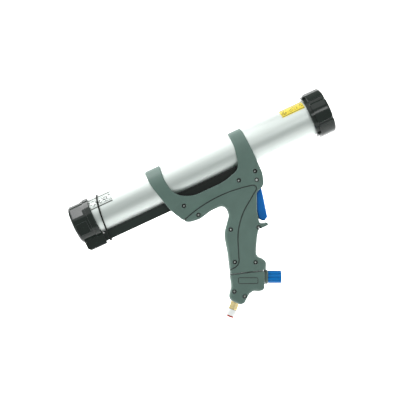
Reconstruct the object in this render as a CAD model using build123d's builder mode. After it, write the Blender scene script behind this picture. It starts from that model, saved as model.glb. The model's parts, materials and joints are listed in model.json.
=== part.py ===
"""Air-powered caulking gun for 600 ml sausages: barrel, caps, handle, trigger valve and regulator.

The origin is on the barrel's axis at the front cap's face. +X points out of the nozzle end,
+Z points up, away from the grip, and the handle's two shells meet on the plane Y = 0.
All sizes are in millimetres.
"""
import os
from math import asin, atan2, cos, degrees, radians, sin, sqrt

from build123d import *

# ---------------------------------------------------------------- driving sizes
# Barrel
BARREL_OUTER_RADIUS = 27.0
BARREL_WALL = 1.5
BARREL_FRONT_X = -6.5
BARREL_REAR_X = -400.0
BARREL_EDGE_CHAMFER = 0.4

# Clearances
SLIDE_CLEARANCE = 0.05          # radial play of a running or sliding fit
SNUG_CLEARANCE = 0.04           # play of pieces that are fixed together
GAP = 0.4                       # space between faces that must not touch
FACE_GAP = 0.1                  # space between faces of pieces that are fixed together

# Front cap
CAP_LENGTH = 31.0
CAP_GRIP_DEPTH = 8.2
CAP_WALL_FRONT = 4.0
CAP_FRONT_ROUNDING = 4.0
CAP_REAR_ROUNDING = 1.2
CAP_LOBES = 6
CAP_NOTCH_RADIUS = 5.0
CAP_NOTCH_DEPTH = 2.2
CAP_RIM_LENGTH = 5.5
NOZZLE_BORE_RADIUS = 17.0
WASHER_THICKNESS = 2.0
CAP_LUG_WIDTH = 4.0
CAP_LUG_HEIGHT = 2.0

# Rear cap
REAR_CAP_OVERHANG = 15.0
REAR_CAP_SOCKET = 19.0
REAR_CAP_WALL = 2.9
REAR_RIM_WALL = 4.0
REAR_RIM_LENGTH = 9.0
REAR_CAP_FLOOR = 10.0
REAR_CAP_ROUNDING = 5.0
REAR_LOBE_WALL = 3.4
REAR_LOBE_FLOOR = 3.8
REAR_LOBE_INSET = 4.0
REAR_LOBE_WEDGE = (4.0, 5.0)
POCKET_COUNT = 5
POCKET_WIDTH = 18.0
POCKET_DEPTH = 1.6
POCKET_LENGTH = 17.0
AIR_PORT_RADIUS = 2.4

# Air rail under the barrel
RAIL_WIDTH = 18.0
RAIL_HEIGHT = 12.4
RAIL_WALL = 2.0
RAIL_BARREL_GAP = 0.8
RAIL_ROUNDING = 1.6
RAIL_REAR_OVERHANG = 4.0
RAIL_FRONT_X = -266.0
RAIL_PLUG_DEPTH = 8.0
RAIL_PLUG_FLANGE = 6.0

# Rubber band that holds the rail against the barrel
BAND_WIRE_RADIUS = 1.15
BAND_FROM_BARREL_END = 30.0
BAND_LEAN = 7.0
BAND_CORNER_RADIUS = 4.0

# Piston
PISTON_FROM_BARREL_END = 36.0
PISTON_LENGTH = 25.0
PISTON_PLAY = 0.35
PISTON_SKIRT_WALL = 3.0
PISTON_RING_WIDTH = 4.0
PISTON_RING_DEPTH = 2.6
PISTON_RING_INSET = 3.0
PISTON_RIBS = 4

# Handle shells
BAND_THICKNESS = 2.4
SHELL_WALL = 2.6
GRIP_HALF_WIDTH = 17.5
GRIP_TOP_Z = -68.0
PANEL_GROOVE_WIDTH = 1.3
PANEL_GROOVE_DEPTH = 0.9
REAR_BAND_X = (-287.0, -262.0)
FRONT_BAND_X = (-153.0, -130.5)
WINDOW_BOTTOM_Z = -34.2

# Barrel rest in the saddle's window
REST_HALF_WIDTH = 17.5
REST_TOP_Z = -21.0
REST_X = (-256.0, -160.0)

# Screws
SCREW_SHANK_RADIUS = 1.4
SCREW_HEAD_RADIUS = 2.9
SCREW_HEAD_HEIGHT = 2.2
SCREW_HEAD_Y = -12.0
SCREW_TIP_Y = 8.0
BOSS_RADIUS = 4.6
RECESS_RADIUS = 3.3
DRIVE_RADIUS = 1.2
DRIVE_DEPTH = 1.2

# Trigger
PIVOT_X = -140.7
PIVOT_Z = -51.9
PIN_RADIUS = 2.0
TRIGGER_WIDTH = 15.0
TRIGGER_SIDE_GAP = 0.6
TRIGGER_BOSS_RADIUS = 5.2
TRIGGER_PAD_X = -163.2

# Trigger valve
VALVE_Z = -80.0
VALVE_BODY_FRONT_X = -171.0
VALVE_BODY_LENGTH = 25.0
VALVE_FRONT_WALL = 2.5
VALVE_REAR_WALL = 1.8
VALVE_FLANGE_THICKNESS = 3.0
VALVE_FLANGE_INSET = 4.0
OUTLET_TUBE_X = -188.0
OUTLET_TUBE_DROP = 10.3
INLET_TUBE_TOP_X = -182.0
RAIL_TUBE_X = -263.0
VALVE_BODY_RADIUS = 7.5
VALVE_BORE_RADIUS = 3.6
STEM_RADIUS = 2.2
STEM_PISTON_LENGTH = 6.0
STEM_RETURN = 3.0
SEAL_WIDTH = 1.4
SEAL_DEPTH = 1.0
SEAL_INSET = 0.7
STEM_TIP_X = -163.6
VALVE_SPRING_WIRE = 0.35
AIR_TUBE_RADIUS = 3.0
AIR_TUBE_BORE = 2.0
AIR_TUBE_ROOM = 1.2
AIR_TUBE_BEND = 5.0
VALVE_SPRING_TURNS = 6

# Regulator
REGULATOR_TILT = 24.9
REGULATOR_X = -186.0
REGULATOR_Z = -190.6
HOUSING_HALF_WIDTH = 17.0
REGULATOR_BODY_RADIUS = 8.2
REGULATOR_BODY_BACK = -30.0
REGULATOR_BODY_FRONT = -5.5
REGULATOR_CHAMBER_RADIUS = 6.6
REGULATOR_CHAMBER_BACK = -20.0
DIAPHRAGM_THICKNESS = 0.8
COLLAR_RADIUS = 11.0
KNOB_RADIUS = 9.5
KNOB_LENGTH = 20.0
KNOB_FLUTES = 12
KNOB_FLUTE_RADIUS = 1.1
SPINDLE_RADIUS = 2.5
SEAT_THICKNESS = 2.0
SEAT_TRAVEL = 3.75
REGULATOR_SPRING_WIRE = 0.55
REGULATOR_SPRING_TURNS = 3.5
REGULATOR_PORT_RADIUS = 2.0
COLLAR_NECK = 3.0
KNOB_END_WALL = 6.1
KNOB_LIFT = 0.2
HOUSING_NECK_INSET = 2.4

# Air inlet
INLET_TUBE_X = -205.0
INLET_X = -245.5
INLET_Z = -204.2
ADAPTOR_HEX_FLATS = 12.8
ADAPTOR_HEX_LENGTH = 10.9
ADAPTOR_THREAD_RADIUS = 4.8
ADAPTOR_THREAD_LENGTH = 11.0
ADAPTOR_BORE_RADIUS = 2.6
COUPLING_RADIUS = 6.7
COUPLING_LENGTH = 9.9
HOSE_RADIUS = 4.0
HOSE_CLEARANCE = 0.1
RELEASE_FLANGE_RADIUS = 5.9
RELEASE_FLANGE_THICKNESS = 1.3
RELEASE_TRAVEL = 1.2
RELEASE_SLEEVE_WALL = 1.0

# Labels
LABEL_THICKNESS = 0.12
FRONT_LABEL_LENGTH = 36.2
FRONT_LABEL_ANGLES = (32.0, 88.0)
REAR_LABEL_LENGTH = 34.8
REAR_LABEL_ANGLES = (20.0, 70.0)

# ---------------------------------------------------------------- sizes that follow
BARREL_BORE_RADIUS = BARREL_OUTER_RADIUS - BARREL_WALL
BAND_OUTER_RADIUS = BARREL_OUTER_RADIUS + BAND_THICKNESS
BAND_TOP_Z = BAND_OUTER_RADIUS + 1.0
CAP_OUTER_RADIUS = BARREL_OUTER_RADIUS + CAP_GRIP_DEPTH
REAR_CAP_RADIUS = BARREL_OUTER_RADIUS + REAR_CAP_WALL
REAR_RIM_RADIUS = BARREL_OUTER_RADIUS + REAR_RIM_WALL
REAR_CAP_REAR_X = BARREL_REAR_X - REAR_CAP_OVERHANG
REAR_CAP_FRONT_X = BARREL_REAR_X + REAR_CAP_SOCKET
REAR_CAP_LENGTH = REAR_CAP_FRONT_X - REAR_CAP_REAR_X
RAIL_REAR_X = BARREL_REAR_X - RAIL_REAR_OVERHANG
RAIL_TOP_Z = -(BARREL_OUTER_RADIUS + RAIL_BARREL_GAP)
RAIL_BOTTOM_Z = RAIL_TOP_Z - RAIL_HEIGHT
RAIL_MIDDLE_Z = (RAIL_TOP_Z + RAIL_BOTTOM_Z) / 2
REAR_LOBE_BOTTOM_Z = RAIL_BOTTOM_Z - REAR_LOBE_FLOOR
LOBE_HALF_WIDTH = RAIL_WIDTH / 2 + REAR_LOBE_WALL
PISTON_FRONT_X = BARREL_REAR_X + PISTON_FROM_BARREL_END
FRONT_LABEL_X = -CAP_LENGTH - 0.8 - FRONT_LABEL_LENGTH
REAR_LABEL_X = REAR_CAP_FRONT_X + 0.2

# Cuts that pass right through the handle
CUT_REAR_X = REAR_BAND_X[0] - 33.0
CUT_LENGTH = 250.0
CUT_REACH = 60.0
HANDLE_LOW_Z = -215.0
PIN_HALF_LENGTH = GRIP_HALF_WIDTH - SHELL_WALL
VALVE_BODY_REAR_X = VALVE_BODY_FRONT_X - VALVE_BODY_LENGTH

SHELL_SCREWS = [
    (-254.4, -41.5), (-240.7, -62.6), (-165.1, -41.5), (-137.6, -39.2),
    (-206.5, -102.6), (-167.6, -117.0), (-221.2, -148.8), (-193.6, -162.0),
]
HOUSING_SCREWS = [(-240.3, -188.2), (-229.4, -201.2)]


def regulator_plane(distance):
    """A plane square to the regulator's axis, this far along it from the collar's face."""
    axis = Vector(cos(radians(REGULATOR_TILT)), 0, -sin(radians(REGULATOR_TILT)))
    return Plane(Vector(REGULATOR_X, 0, REGULATOR_Z) + axis * distance, x_dir=(0, 1, 0), z_dir=axis)


def inlet_plane(distance):
    """A plane square to the inlet's axis, this far out from the housing's boss."""
    axis = Vector(-sqrt(0.5), 0, -sqrt(0.5))
    return Plane(Vector(INLET_X, 0, INLET_Z) + axis * distance, x_dir=(0, 1, 0), z_dir=axis)


def ring(plane, outer, inner, length):
    """A plain ring or, with no inner radius, a disc, that stands on a plane."""
    with BuildPart() as made:
        with BuildSketch(plane):
            Circle(outer)
            if inner:
                Circle(inner, mode=Mode.SUBTRACT)
        extrude(amount=length)
    return made.part


def coil(plane, radius, wire, length, turns):
    """A compression spring that stands on a plane."""
    with BuildPart() as made:
        with BuildLine():
            path = Helix(pitch=(length - 2 * wire) / turns, height=length - 2 * wire, radius=radius)
        with BuildSketch(Plane(path @ 0, z_dir=path % 0)):
            Circle(wire)
        sweep(path=path, is_frenet=True)
    return plane.offset(wire) * made.part


def keep(part, label):
    """Name a finished piece and write it."""
    part.label = label
    export_step(part, f"parts/{label}.step")


os.makedirs("parts", exist_ok=True)

# ---------------------------------------------------------------- barrel
with BuildPart() as barrel_tube:
    with BuildSketch(Plane.YZ.offset(BARREL_REAR_X)):
        Circle(BARREL_OUTER_RADIUS)
        Circle(BARREL_BORE_RADIUS, mode=Mode.SUBTRACT)
    extrude(amount=BARREL_FRONT_X - BARREL_REAR_X)
    chamfer(barrel_tube.edges().group_by(Axis.X)[-1], BARREL_EDGE_CHAMFER)
keep(barrel_tube.part, "barrel_tube")


def label_part(rear_x, length, angles):
    """A thin sticker wrapped on the barrel, from one angle to another above the -Y side."""
    with BuildPart() as made:
        with BuildSketch(Plane.YZ.offset(rear_x)):
            Circle(BARREL_OUTER_RADIUS + LABEL_THICKNESS)
            Circle(BARREL_OUTER_RADIUS, mode=Mode.SUBTRACT)
            with BuildLine():
                first = PolarLine((0, 0), 3 * BARREL_OUTER_RADIUS, 180 - angles[0])
                last = PolarLine((0, 0), 3 * BARREL_OUTER_RADIUS, 180 - angles[1])
                Line(first @ 1, last @ 1)
            make_face(mode=Mode.INTERSECT)
        extrude(amount=length)
    return made.part


keep(label_part(FRONT_LABEL_X, FRONT_LABEL_LENGTH, FRONT_LABEL_ANGLES), "front_label")
keep(label_part(REAR_LABEL_X, REAR_LABEL_LENGTH, REAR_LABEL_ANGLES), "rear_label")

# ---------------------------------------------------------------- front cap
with BuildPart() as front_cap:
    with BuildSketch(Plane.YZ.offset(-CAP_LENGTH + CAP_RIM_LENGTH)):
        Circle(CAP_OUTER_RADIUS)
        with PolarLocations(CAP_OUTER_RADIUS + CAP_NOTCH_RADIUS - CAP_NOTCH_DEPTH, CAP_LOBES,
                            start_angle=180 / CAP_LOBES):
            Circle(CAP_NOTCH_RADIUS, mode=Mode.SUBTRACT)
    extrude(amount=CAP_LENGTH - CAP_RIM_LENGTH)
    fillet(front_cap.edges().group_by(Axis.X)[-1], CAP_FRONT_ROUNDING)
    fillet(front_cap.edges().group_by(Axis.X)[0], CAP_REAR_ROUNDING)
    with BuildSketch(Plane.YZ.offset(-CAP_LENGTH)):
        Circle(CAP_OUTER_RADIUS - CAP_NOTCH_DEPTH - GAP)
    extrude(amount=CAP_RIM_LENGTH + 1)
    chamfer(front_cap.edges().group_by(Axis.X)[0], 1.0)
    with BuildSketch(Plane.YZ.offset(-CAP_LENGTH + CAP_REAR_ROUNDING)):
        with PolarLocations(CAP_OUTER_RADIUS - CAP_LUG_HEIGHT, CAP_LOBES):
            RectangleRounded(2 * CAP_LUG_HEIGHT, CAP_LUG_WIDTH, 0.8)
    extrude(amount=CAP_RIM_LENGTH)
    with BuildSketch(Plane.YZ.offset(-CAP_LENGTH)):
        Circle(BARREL_OUTER_RADIUS + SLIDE_CLEARANCE)
    extrude(amount=CAP_LENGTH - CAP_WALL_FRONT, mode=Mode.SUBTRACT)
    with BuildSketch(Plane.YZ.offset(-CAP_WALL_FRONT)):
        Circle(NOZZLE_BORE_RADIUS)
    extrude(amount=CAP_WALL_FRONT, mode=Mode.SUBTRACT)
keep(front_cap.part, "front_cap")

with BuildPart() as slip_washer:
    with BuildSketch(Plane.YZ.offset(-CAP_WALL_FRONT - WASHER_THICKNESS)):
        Circle(BARREL_OUTER_RADIUS - GAP)
        Circle(NOZZLE_BORE_RADIUS + 1.0, mode=Mode.SUBTRACT)
    extrude(amount=WASHER_THICKNESS - FACE_GAP)
keep(slip_washer.part, "slip_washer")

# ---------------------------------------------------------------- rear cap
lobe_back_x = REAR_CAP_REAR_X + REAR_LOBE_INSET
with BuildPart() as rear_cap:
    with BuildSketch(Plane.YZ.offset(REAR_CAP_REAR_X)):
        Circle(REAR_CAP_RADIUS)
    extrude(amount=REAR_CAP_LENGTH)
    fillet(rear_cap.edges().group_by(Axis.X)[0], REAR_CAP_ROUNDING)
    with BuildSketch(Plane.YZ.offset(REAR_CAP_FRONT_X - REAR_RIM_LENGTH)):
        Circle(REAR_RIM_RADIUS)
    extrude(amount=REAR_RIM_LENGTH)
    chamfer(rear_cap.edges().group_by(Axis.X)[-1], 1.0)
    with BuildSketch(Plane.YZ.offset(lobe_back_x)):
        with Locations((0, REAR_LOBE_BOTTOM_Z / 2)):
            RectangleRounded(2 * LOBE_HALF_WIDTH, -REAR_LOBE_BOTTOM_Z, 4.5)
    extrude(amount=REAR_CAP_LENGTH - REAR_LOBE_INSET)
    with BuildSketch(Plane.XZ):
        with BuildLine():
            Polyline((lobe_back_x, REAR_LOBE_BOTTOM_Z),
                     (lobe_back_x + REAR_LOBE_WEDGE[0], REAR_LOBE_BOTTOM_Z),
                     (lobe_back_x, REAR_LOBE_BOTTOM_Z + REAR_LOBE_WEDGE[1]), close=True)
        make_face()
    extrude(amount=2 * LOBE_HALF_WIDTH, both=True, mode=Mode.SUBTRACT)
    # finger pockets around the closed end
    with BuildSketch(Plane.YZ.offset(lobe_back_x)):
        with PolarLocations(REAR_CAP_RADIUS, POCKET_COUNT, start_angle=-20, angular_range=220,
                            endpoint=True, rotate=True):
            Rectangle(2 * POCKET_DEPTH, POCKET_WIDTH)
    extrude(amount=POCKET_LENGTH, mode=Mode.SUBTRACT)
    # barrel socket, air space behind the piston, rail socket and the port between them
    with BuildSketch(Plane.YZ.offset(REAR_CAP_FRONT_X)):
        Circle(BARREL_OUTER_RADIUS + SNUG_CLEARANCE)
    extrude(amount=BARREL_REAR_X - REAR_CAP_FRONT_X - 2.0, mode=Mode.SUBTRACT)
    with BuildSketch(Plane.YZ.offset(BARREL_REAR_X)):
        Circle(BARREL_BORE_RADIUS - 2.0)
    extrude(amount=REAR_CAP_REAR_X + REAR_CAP_FLOOR - BARREL_REAR_X, mode=Mode.SUBTRACT)
    with BuildSketch(Plane.YZ.offset(REAR_CAP_FRONT_X)):
        with Locations((0, (RAIL_TOP_Z + RAIL_BOTTOM_Z) / 2)):
            Rectangle(RAIL_WIDTH + 2 * SNUG_CLEARANCE, RAIL_HEIGHT + 2 * SNUG_CLEARANCE)
    extrude(amount=RAIL_REAR_X - REAR_CAP_FRONT_X, mode=Mode.SUBTRACT)
    with BuildSketch(Plane.XY.offset(RAIL_MIDDLE_Z)):
        with Locations((RAIL_REAR_X - 0.6, 0)):
            Circle(AIR_PORT_RADIUS)
    extrude(amount=BARREL_BORE_RADIUS - RAIL_BARREL_GAP, mode=Mode.SUBTRACT)
keep(rear_cap.part, "rear_cap")

barrel_seal = ring(Plane.YZ.offset(BARREL_REAR_X - 1.9), BARREL_OUTER_RADIUS - 0.1,
                   BARREL_BORE_RADIUS - 1.5, 1.8)
keep(barrel_seal, "barrel_seal")

# ---------------------------------------------------------------- air rail
with BuildPart() as air_rail:
    with BuildSketch(Plane.YZ.offset(RAIL_REAR_X)):
        with Locations((0, RAIL_MIDDLE_Z)):
            RectangleRounded(RAIL_WIDTH, RAIL_HEIGHT, RAIL_ROUNDING)
            RectangleRounded(RAIL_WIDTH - 2 * RAIL_WALL, RAIL_HEIGHT - 2 * RAIL_WALL, 1.0,
                             mode=Mode.SUBTRACT)
    extrude(amount=RAIL_FRONT_X - RAIL_REAR_X)
keep(air_rail.part, "air_rail")

# the plug that closes the rail's front end and takes the tube from the valve
with BuildPart() as rail_plug:
    with BuildSketch(Plane.YZ.offset(RAIL_FRONT_X - RAIL_PLUG_DEPTH)):
        with Locations((0, RAIL_MIDDLE_Z)):
            RectangleRounded(RAIL_WIDTH - 2 * (RAIL_WALL + SNUG_CLEARANCE),
                             RAIL_HEIGHT - 2 * (RAIL_WALL + SNUG_CLEARANCE), 0.9)
    extrude(amount=RAIL_PLUG_DEPTH)
    with BuildSketch(Plane.YZ.offset(RAIL_FRONT_X)):
        with Locations((0, RAIL_MIDDLE_Z)):
            RectangleRounded(RAIL_WIDTH - 1.0, RAIL_HEIGHT - 1.0, 1.2)
    extrude(amount=RAIL_PLUG_FLANGE)
    with BuildSketch(Plane.YZ.offset(RAIL_FRONT_X - RAIL_PLUG_DEPTH)):
        with Locations((0, RAIL_MIDDLE_Z)):
            Circle(AIR_TUBE_BORE)
    extrude(amount=RAIL_PLUG_DEPTH + RAIL_PLUG_FLANGE / 2, mode=Mode.SUBTRACT)
    with BuildSketch(Plane.XY.offset(RAIL_MIDDLE_Z)):
        with Locations((RAIL_TUBE_X, 0)):
            Circle(AIR_TUBE_BORE)
    extrude(amount=-RAIL_HEIGHT, mode=Mode.SUBTRACT)
keep(rail_plug.part, "rail_plug")

# rubber band round the barrel and the rail, leaning a little
BAND_INNER_RADIUS = (BARREL_OUTER_RADIUS + LABEL_THICKNESS + FACE_GAP) / cos(radians(BAND_LEAN))
BAND_PATH_RADIUS = BAND_INNER_RADIUS + BAND_WIRE_RADIUS
BAND_PATH_BOTTOM = RAIL_BOTTOM_Z / cos(radians(BAND_LEAN)) - BAND_WIRE_RADIUS - 0.4
BAND_CORNER_Y = RAIL_WIDTH / 2 - BAND_CORNER_RADIUS + BAND_WIRE_RADIUS + 0.3
BAND_CORNER_Z = BAND_PATH_BOTTOM + BAND_CORNER_RADIUS
band_plane = Plane((BARREL_REAR_X + BAND_FROM_BARREL_END, 0, 0), x_dir=(0, 1, 0),
                   z_dir=(cos(radians(BAND_LEAN)), 0, -sin(radians(BAND_LEAN))))
# the straight side touches the barrel's circle and the rail's corner circle
side_distance = sqrt(BAND_CORNER_Y ** 2 + BAND_CORNER_Z ** 2)
side_direction = degrees(atan2(BAND_CORNER_Z, BAND_CORNER_Y))
side_turn = degrees(asin((BAND_PATH_RADIUS - BAND_CORNER_RADIUS) / side_distance))
side_angle = side_direction + 90 - side_turn


def on_circle(centre, radius, angle):
    """The point at an angle on a circle."""
    return (centre[0] + radius * cos(radians(angle)), centre[1] + radius * sin(radians(angle)))


corner_right = (BAND_CORNER_Y, BAND_CORNER_Z)
corner_left = (-BAND_CORNER_Y, BAND_CORNER_Z)
with BuildPart() as rail_band:
    with BuildLine(band_plane) as band_path:
        right_top = on_circle((0, 0), BAND_PATH_RADIUS, side_angle)
        left_top = (-right_top[0], right_top[1])
        right_low = on_circle(corner_right, BAND_CORNER_RADIUS, side_angle)
        left_low = (-right_low[0], right_low[1])
        ThreePointArc(right_top, (0, BAND_PATH_RADIUS), left_top)
        Line(left_top, left_low)
        ThreePointArc(left_low, on_circle(corner_left, BAND_CORNER_RADIUS, 270 - (90 + side_angle) / 2),
                      (-BAND_CORNER_Y, BAND_PATH_BOTTOM))
        Line((-BAND_CORNER_Y, BAND_PATH_BOTTOM), (BAND_CORNER_Y, BAND_PATH_BOTTOM))
        ThreePointArc((BAND_CORNER_Y, BAND_PATH_BOTTOM),
                      on_circle(corner_right, BAND_CORNER_RADIUS, (side_angle - 90) / 2), right_low)
        Line(right_low, right_top)
    with BuildSketch(Plane(band_plane.from_local_coords(Vector(0, BAND_PATH_RADIUS, 0)),
                           x_dir=band_plane.z_dir, z_dir=band_plane.x_dir)):
        Circle(BAND_WIRE_RADIUS)
    sweep(path=band_path.wires()[0])
keep(rail_band.part, "rail_band")

# ---------------------------------------------------------------- piston
PISTON_RADIUS = BARREL_BORE_RADIUS - PISTON_PLAY
PISTON_REAR_X = PISTON_FRONT_X - PISTON_LENGTH
RING_GROOVES = [PISTON_FRONT_X - PISTON_RING_INSET,
                PISTON_REAR_X + PISTON_RING_INSET + PISTON_RING_WIDTH]
with BuildPart() as piston:
    with BuildSketch(Plane.YZ.offset(PISTON_REAR_X)):
        Circle(PISTON_RADIUS)
    extrude(amount=PISTON_LENGTH)
    fillet(piston.edges().group_by(Axis.X)[-1], 2.0)
    with BuildSketch(Plane.YZ.offset(PISTON_REAR_X)):
        Circle(PISTON_RADIUS - PISTON_RING_DEPTH - PISTON_SKIRT_WALL)
        with PolarLocations(0, PISTON_RIBS):
            Rectangle(PISTON_SKIRT_WALL, 2 * PISTON_RADIUS, mode=Mode.SUBTRACT)
    extrude(amount=PISTON_LENGTH - PISTON_SKIRT_WALL, mode=Mode.SUBTRACT)
    for groove_x in RING_GROOVES:
        with BuildSketch(Plane.YZ.offset(groove_x)):
            Circle(BARREL_BORE_RADIUS)
            Circle(PISTON_RADIUS - PISTON_RING_DEPTH, mode=Mode.SUBTRACT)
        extrude(amount=-PISTON_RING_WIDTH, mode=Mode.SUBTRACT)
keep(piston.part, "piston")

for ring_name, groove_x in zip(("piston_wiper", "piston_seal"), RING_GROOVES):
    piston_ring = ring(Plane.YZ.offset(groove_x - 0.1), BARREL_BORE_RADIUS - SLIDE_CLEARANCE,
                       PISTON_RADIUS - PISTON_RING_DEPTH + SNUG_CLEARANCE, 0.2 - PISTON_RING_WIDTH)
    keep(piston_ring, ring_name)


# ---------------------------------------------------------------- handle shells
# Corners of the handle's side view as (x, z, rounding radius), round from the rear band's top.
HANDLE_CORNERS = [
    (REAR_BAND_X[0], BAND_TOP_Z, 0), (-286.6, 8.0, 90.0), (-274.8, -41.5, 60.0), (-261.5, -66.5, 14.0),
    (-242.0, -69.8, 40.0), (-222.0, -65.2, 30.0), (-198.2, -65.2, 9.5), (-200.2, -83.0, 12.0),
    (-218.8, -105.0, 35.0), (-226.0, -134.0, 120.0), (-235.2, -161.6, 0), (-183.9, -178.4, 0),
    (-177.6, -166.5, 8.0), (-189.2, -154.0, 10.0), (-175.2, -129.0, 60.0), (-169.0, -120.0, 4.0),
    (-152.8, -120.0, 1.6), (-152.8, -115.4, 1.6), (-163.4, -113.6, 4.5), (-161.5, -98.0, 60.0),
    (-148.6, -68.6, 4.0), (-133.4, -63.6, 12.0), (-128.4, -46.0, 30.0), (-128.6, -20.0, 200.0),
    (FRONT_BAND_X[1], BAND_TOP_Z, 0),
]
WINDOW_CORNERS = [
    (REAR_BAND_X[1], BAND_TOP_Z + 10, 0), (-264.6, 6.0, 60.0), (-260.5, -22.0, 26.0),
    (-236.0, WINDOW_BOTTOM_Z, 40.0), (-186.0, WINDOW_BOTTOM_Z, 70.0), (-157.5, -26.0, 16.0),
    (-151.0, 6.0, 50.0), (FRONT_BAND_X[0] + 2.0, BAND_TOP_Z + 10, 0),
]
# The slot in the grip's front, open to the trigger
TRIGGER_SLOT = [
    (-136.4, -55.0), (-137.2, -72.0), (-147.2, -113.1), (-163.2, -113.1), (-173.0, -104.0),
    (-168.0, -72.0), (-158.0, -60.0),
]


def rounded_outline(corners):
    """A flat region whose straight sides meet in arcs, from corners as (x, y, radius)."""
    with BuildSketch(Plane.XY) as region:
        with BuildLine():
            Polyline(*[(x, y) for x, y, _ in corners], close=True)
        make_face()
        for x, y, radius in corners:
            if radius:
                fillet(region.vertices().sort_by_distance((x, y, 0))[0], radius)
    return region.sketch


def cross_outline(inset):
    """The handle's end view: round over the barrel, then narrowing to the grip."""
    round_radius = BAND_OUTER_RADIUS - inset
    grip_half = GRIP_HALF_WIDTH - inset
    with BuildLine() as outline:
        CenterArc((0, 0), round_radius, 0, 90)
        middle = ((round_radius + grip_half) / 2, GRIP_TOP_Z / 2)
        upper = TangentArc((round_radius, 0), middle, tangent=(0, -1))
        TangentArc(middle, (grip_half, GRIP_TOP_Z), tangent=upper % 1)
        Line((grip_half, GRIP_TOP_Z), (grip_half, HANDLE_LOW_Z))
        Line((grip_half, HANDLE_LOW_Z), (0, HANDLE_LOW_Z))
        mirror(about=Plane.YZ)
    return outline.line


def handle_form(inset):
    """The handle as one solid, drawn in by inset all round."""
    side_view = rounded_outline(HANDLE_CORNERS)
    end_view = cross_outline(inset)
    with BuildPart() as form:
        with BuildSketch(Plane.XZ):
            add(side_view)
            if inset:
                offset(amount=-inset, kind=Kind.INTERSECTION)
        extrude(amount=CUT_REACH, both=True)
        with BuildSketch(Plane.YZ.offset(CUT_REAR_X)):
            with BuildLine():
                add(end_view)
            make_face()
        extrude(amount=CUT_LENGTH, mode=Mode.INTERSECT)
    return form.part


def panel_ribbon():
    """The narrow groove that outlines the palm panel, as a flat region in side view."""
    with BuildSketch(Plane.XY) as ribbon:
        with BuildLine():
            over = ThreePointArc((-268.0, -62.6), (-200.0, -50.4), (-150.0, -56.4))
            nose = TangentArc(over @ 1, (-148.6, -65.6), tangent=over % 1)
            Polyline(nose @ 1, (-172.5, -82.0))
            ThreePointArc((-172.5, -82.0), (-193.0, -103.0), (-206.0, -127.5))
            Line((-206.0, -127.5), (-213.5, -146.0))
            ThreePointArc((-213.5, -146.0), (-218.0, -153.4), (-226.0, -156.0))
            Line((-226.0, -156.0), (-240.0, -157.0))
        trace(line_width=PANEL_GROOVE_WIDTH)
    return ribbon.sketch


outer_form = handle_form(0)
window = rounded_outline(WINDOW_CORNERS)
groove = panel_ribbon()


def screw_boss(x, z):
    """The solid column round one screw, right across the handle."""
    with BuildPart() as made:
        with BuildSketch(Plane.XZ):
            with Locations((x, z)):
                Circle(BOSS_RADIUS)
        extrude(amount=CUT_REACH, both=True)
    return made.part


def screw_hole(x, z):
    """The space that one screw and its recess take."""
    with BuildPart() as made:
        with BuildSketch(Plane.XZ.offset(-SCREW_HEAD_Y)):
            with Locations((x, z)):
                Circle(RECESS_RADIUS)
        extrude(amount=CUT_REACH)
        with BuildSketch(Plane.XZ.offset(-SCREW_TIP_Y - 1)):
            with Locations((x, z)):
                Circle(SCREW_SHANK_RADIUS + SNUG_CLEARANCE)
        extrude(amount=SCREW_TIP_Y + 1 - SCREW_HEAD_Y)
    return made.part


def shell_cavity():
    """The hollow of the handle, kept clear of the window's edge and of the barrel's bands."""
    with BuildPart() as made:
        add(handle_form(SHELL_WALL))
        with BuildSketch(Plane.XZ):
            add(window)
            offset(amount=SHELL_WALL)
        extrude(amount=CUT_REACH, both=True, mode=Mode.SUBTRACT)
        with BuildSketch(Plane.YZ.offset(CUT_REAR_X)):
            Circle(BAND_OUTER_RADIUS)
        extrude(amount=CUT_LENGTH, mode=Mode.SUBTRACT)
    return made.part


def panel_groove():
    """What the groove round the palm panel takes away from the handle's sides."""
    with BuildPart() as made:
        with BuildSketch(Plane.XZ):
            add(groove)
        extrude(amount=CUT_REACH, both=True)
        add(handle_form(PANEL_GROOVE_DEPTH), mode=Mode.SUBTRACT)
    return made.part


def screws(places):
    """Screws through both shells, heads on the -Y side."""
    with BuildPart() as made:
        for x, z in places:
            with BuildSketch(Plane.XZ.offset(-SCREW_TIP_Y)):
                with Locations((x, z)):
                    Circle(SCREW_SHANK_RADIUS)
            extrude(amount=SCREW_TIP_Y - SCREW_HEAD_Y)
            with BuildSketch(Plane.XZ.offset(-SCREW_HEAD_Y)):
                with Locations((x, z)):
                    Circle(SCREW_HEAD_RADIUS)
            extrude(amount=SCREW_HEAD_HEIGHT)
            with BuildSketch(Plane.XZ.offset(-SCREW_HEAD_Y + SCREW_HEAD_HEIGHT)):
                with Locations((x, z)):
                    RegularPolygon(DRIVE_RADIUS, 6)
            extrude(amount=-DRIVE_DEPTH, mode=Mode.SUBTRACT)
    return made.part


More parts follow.
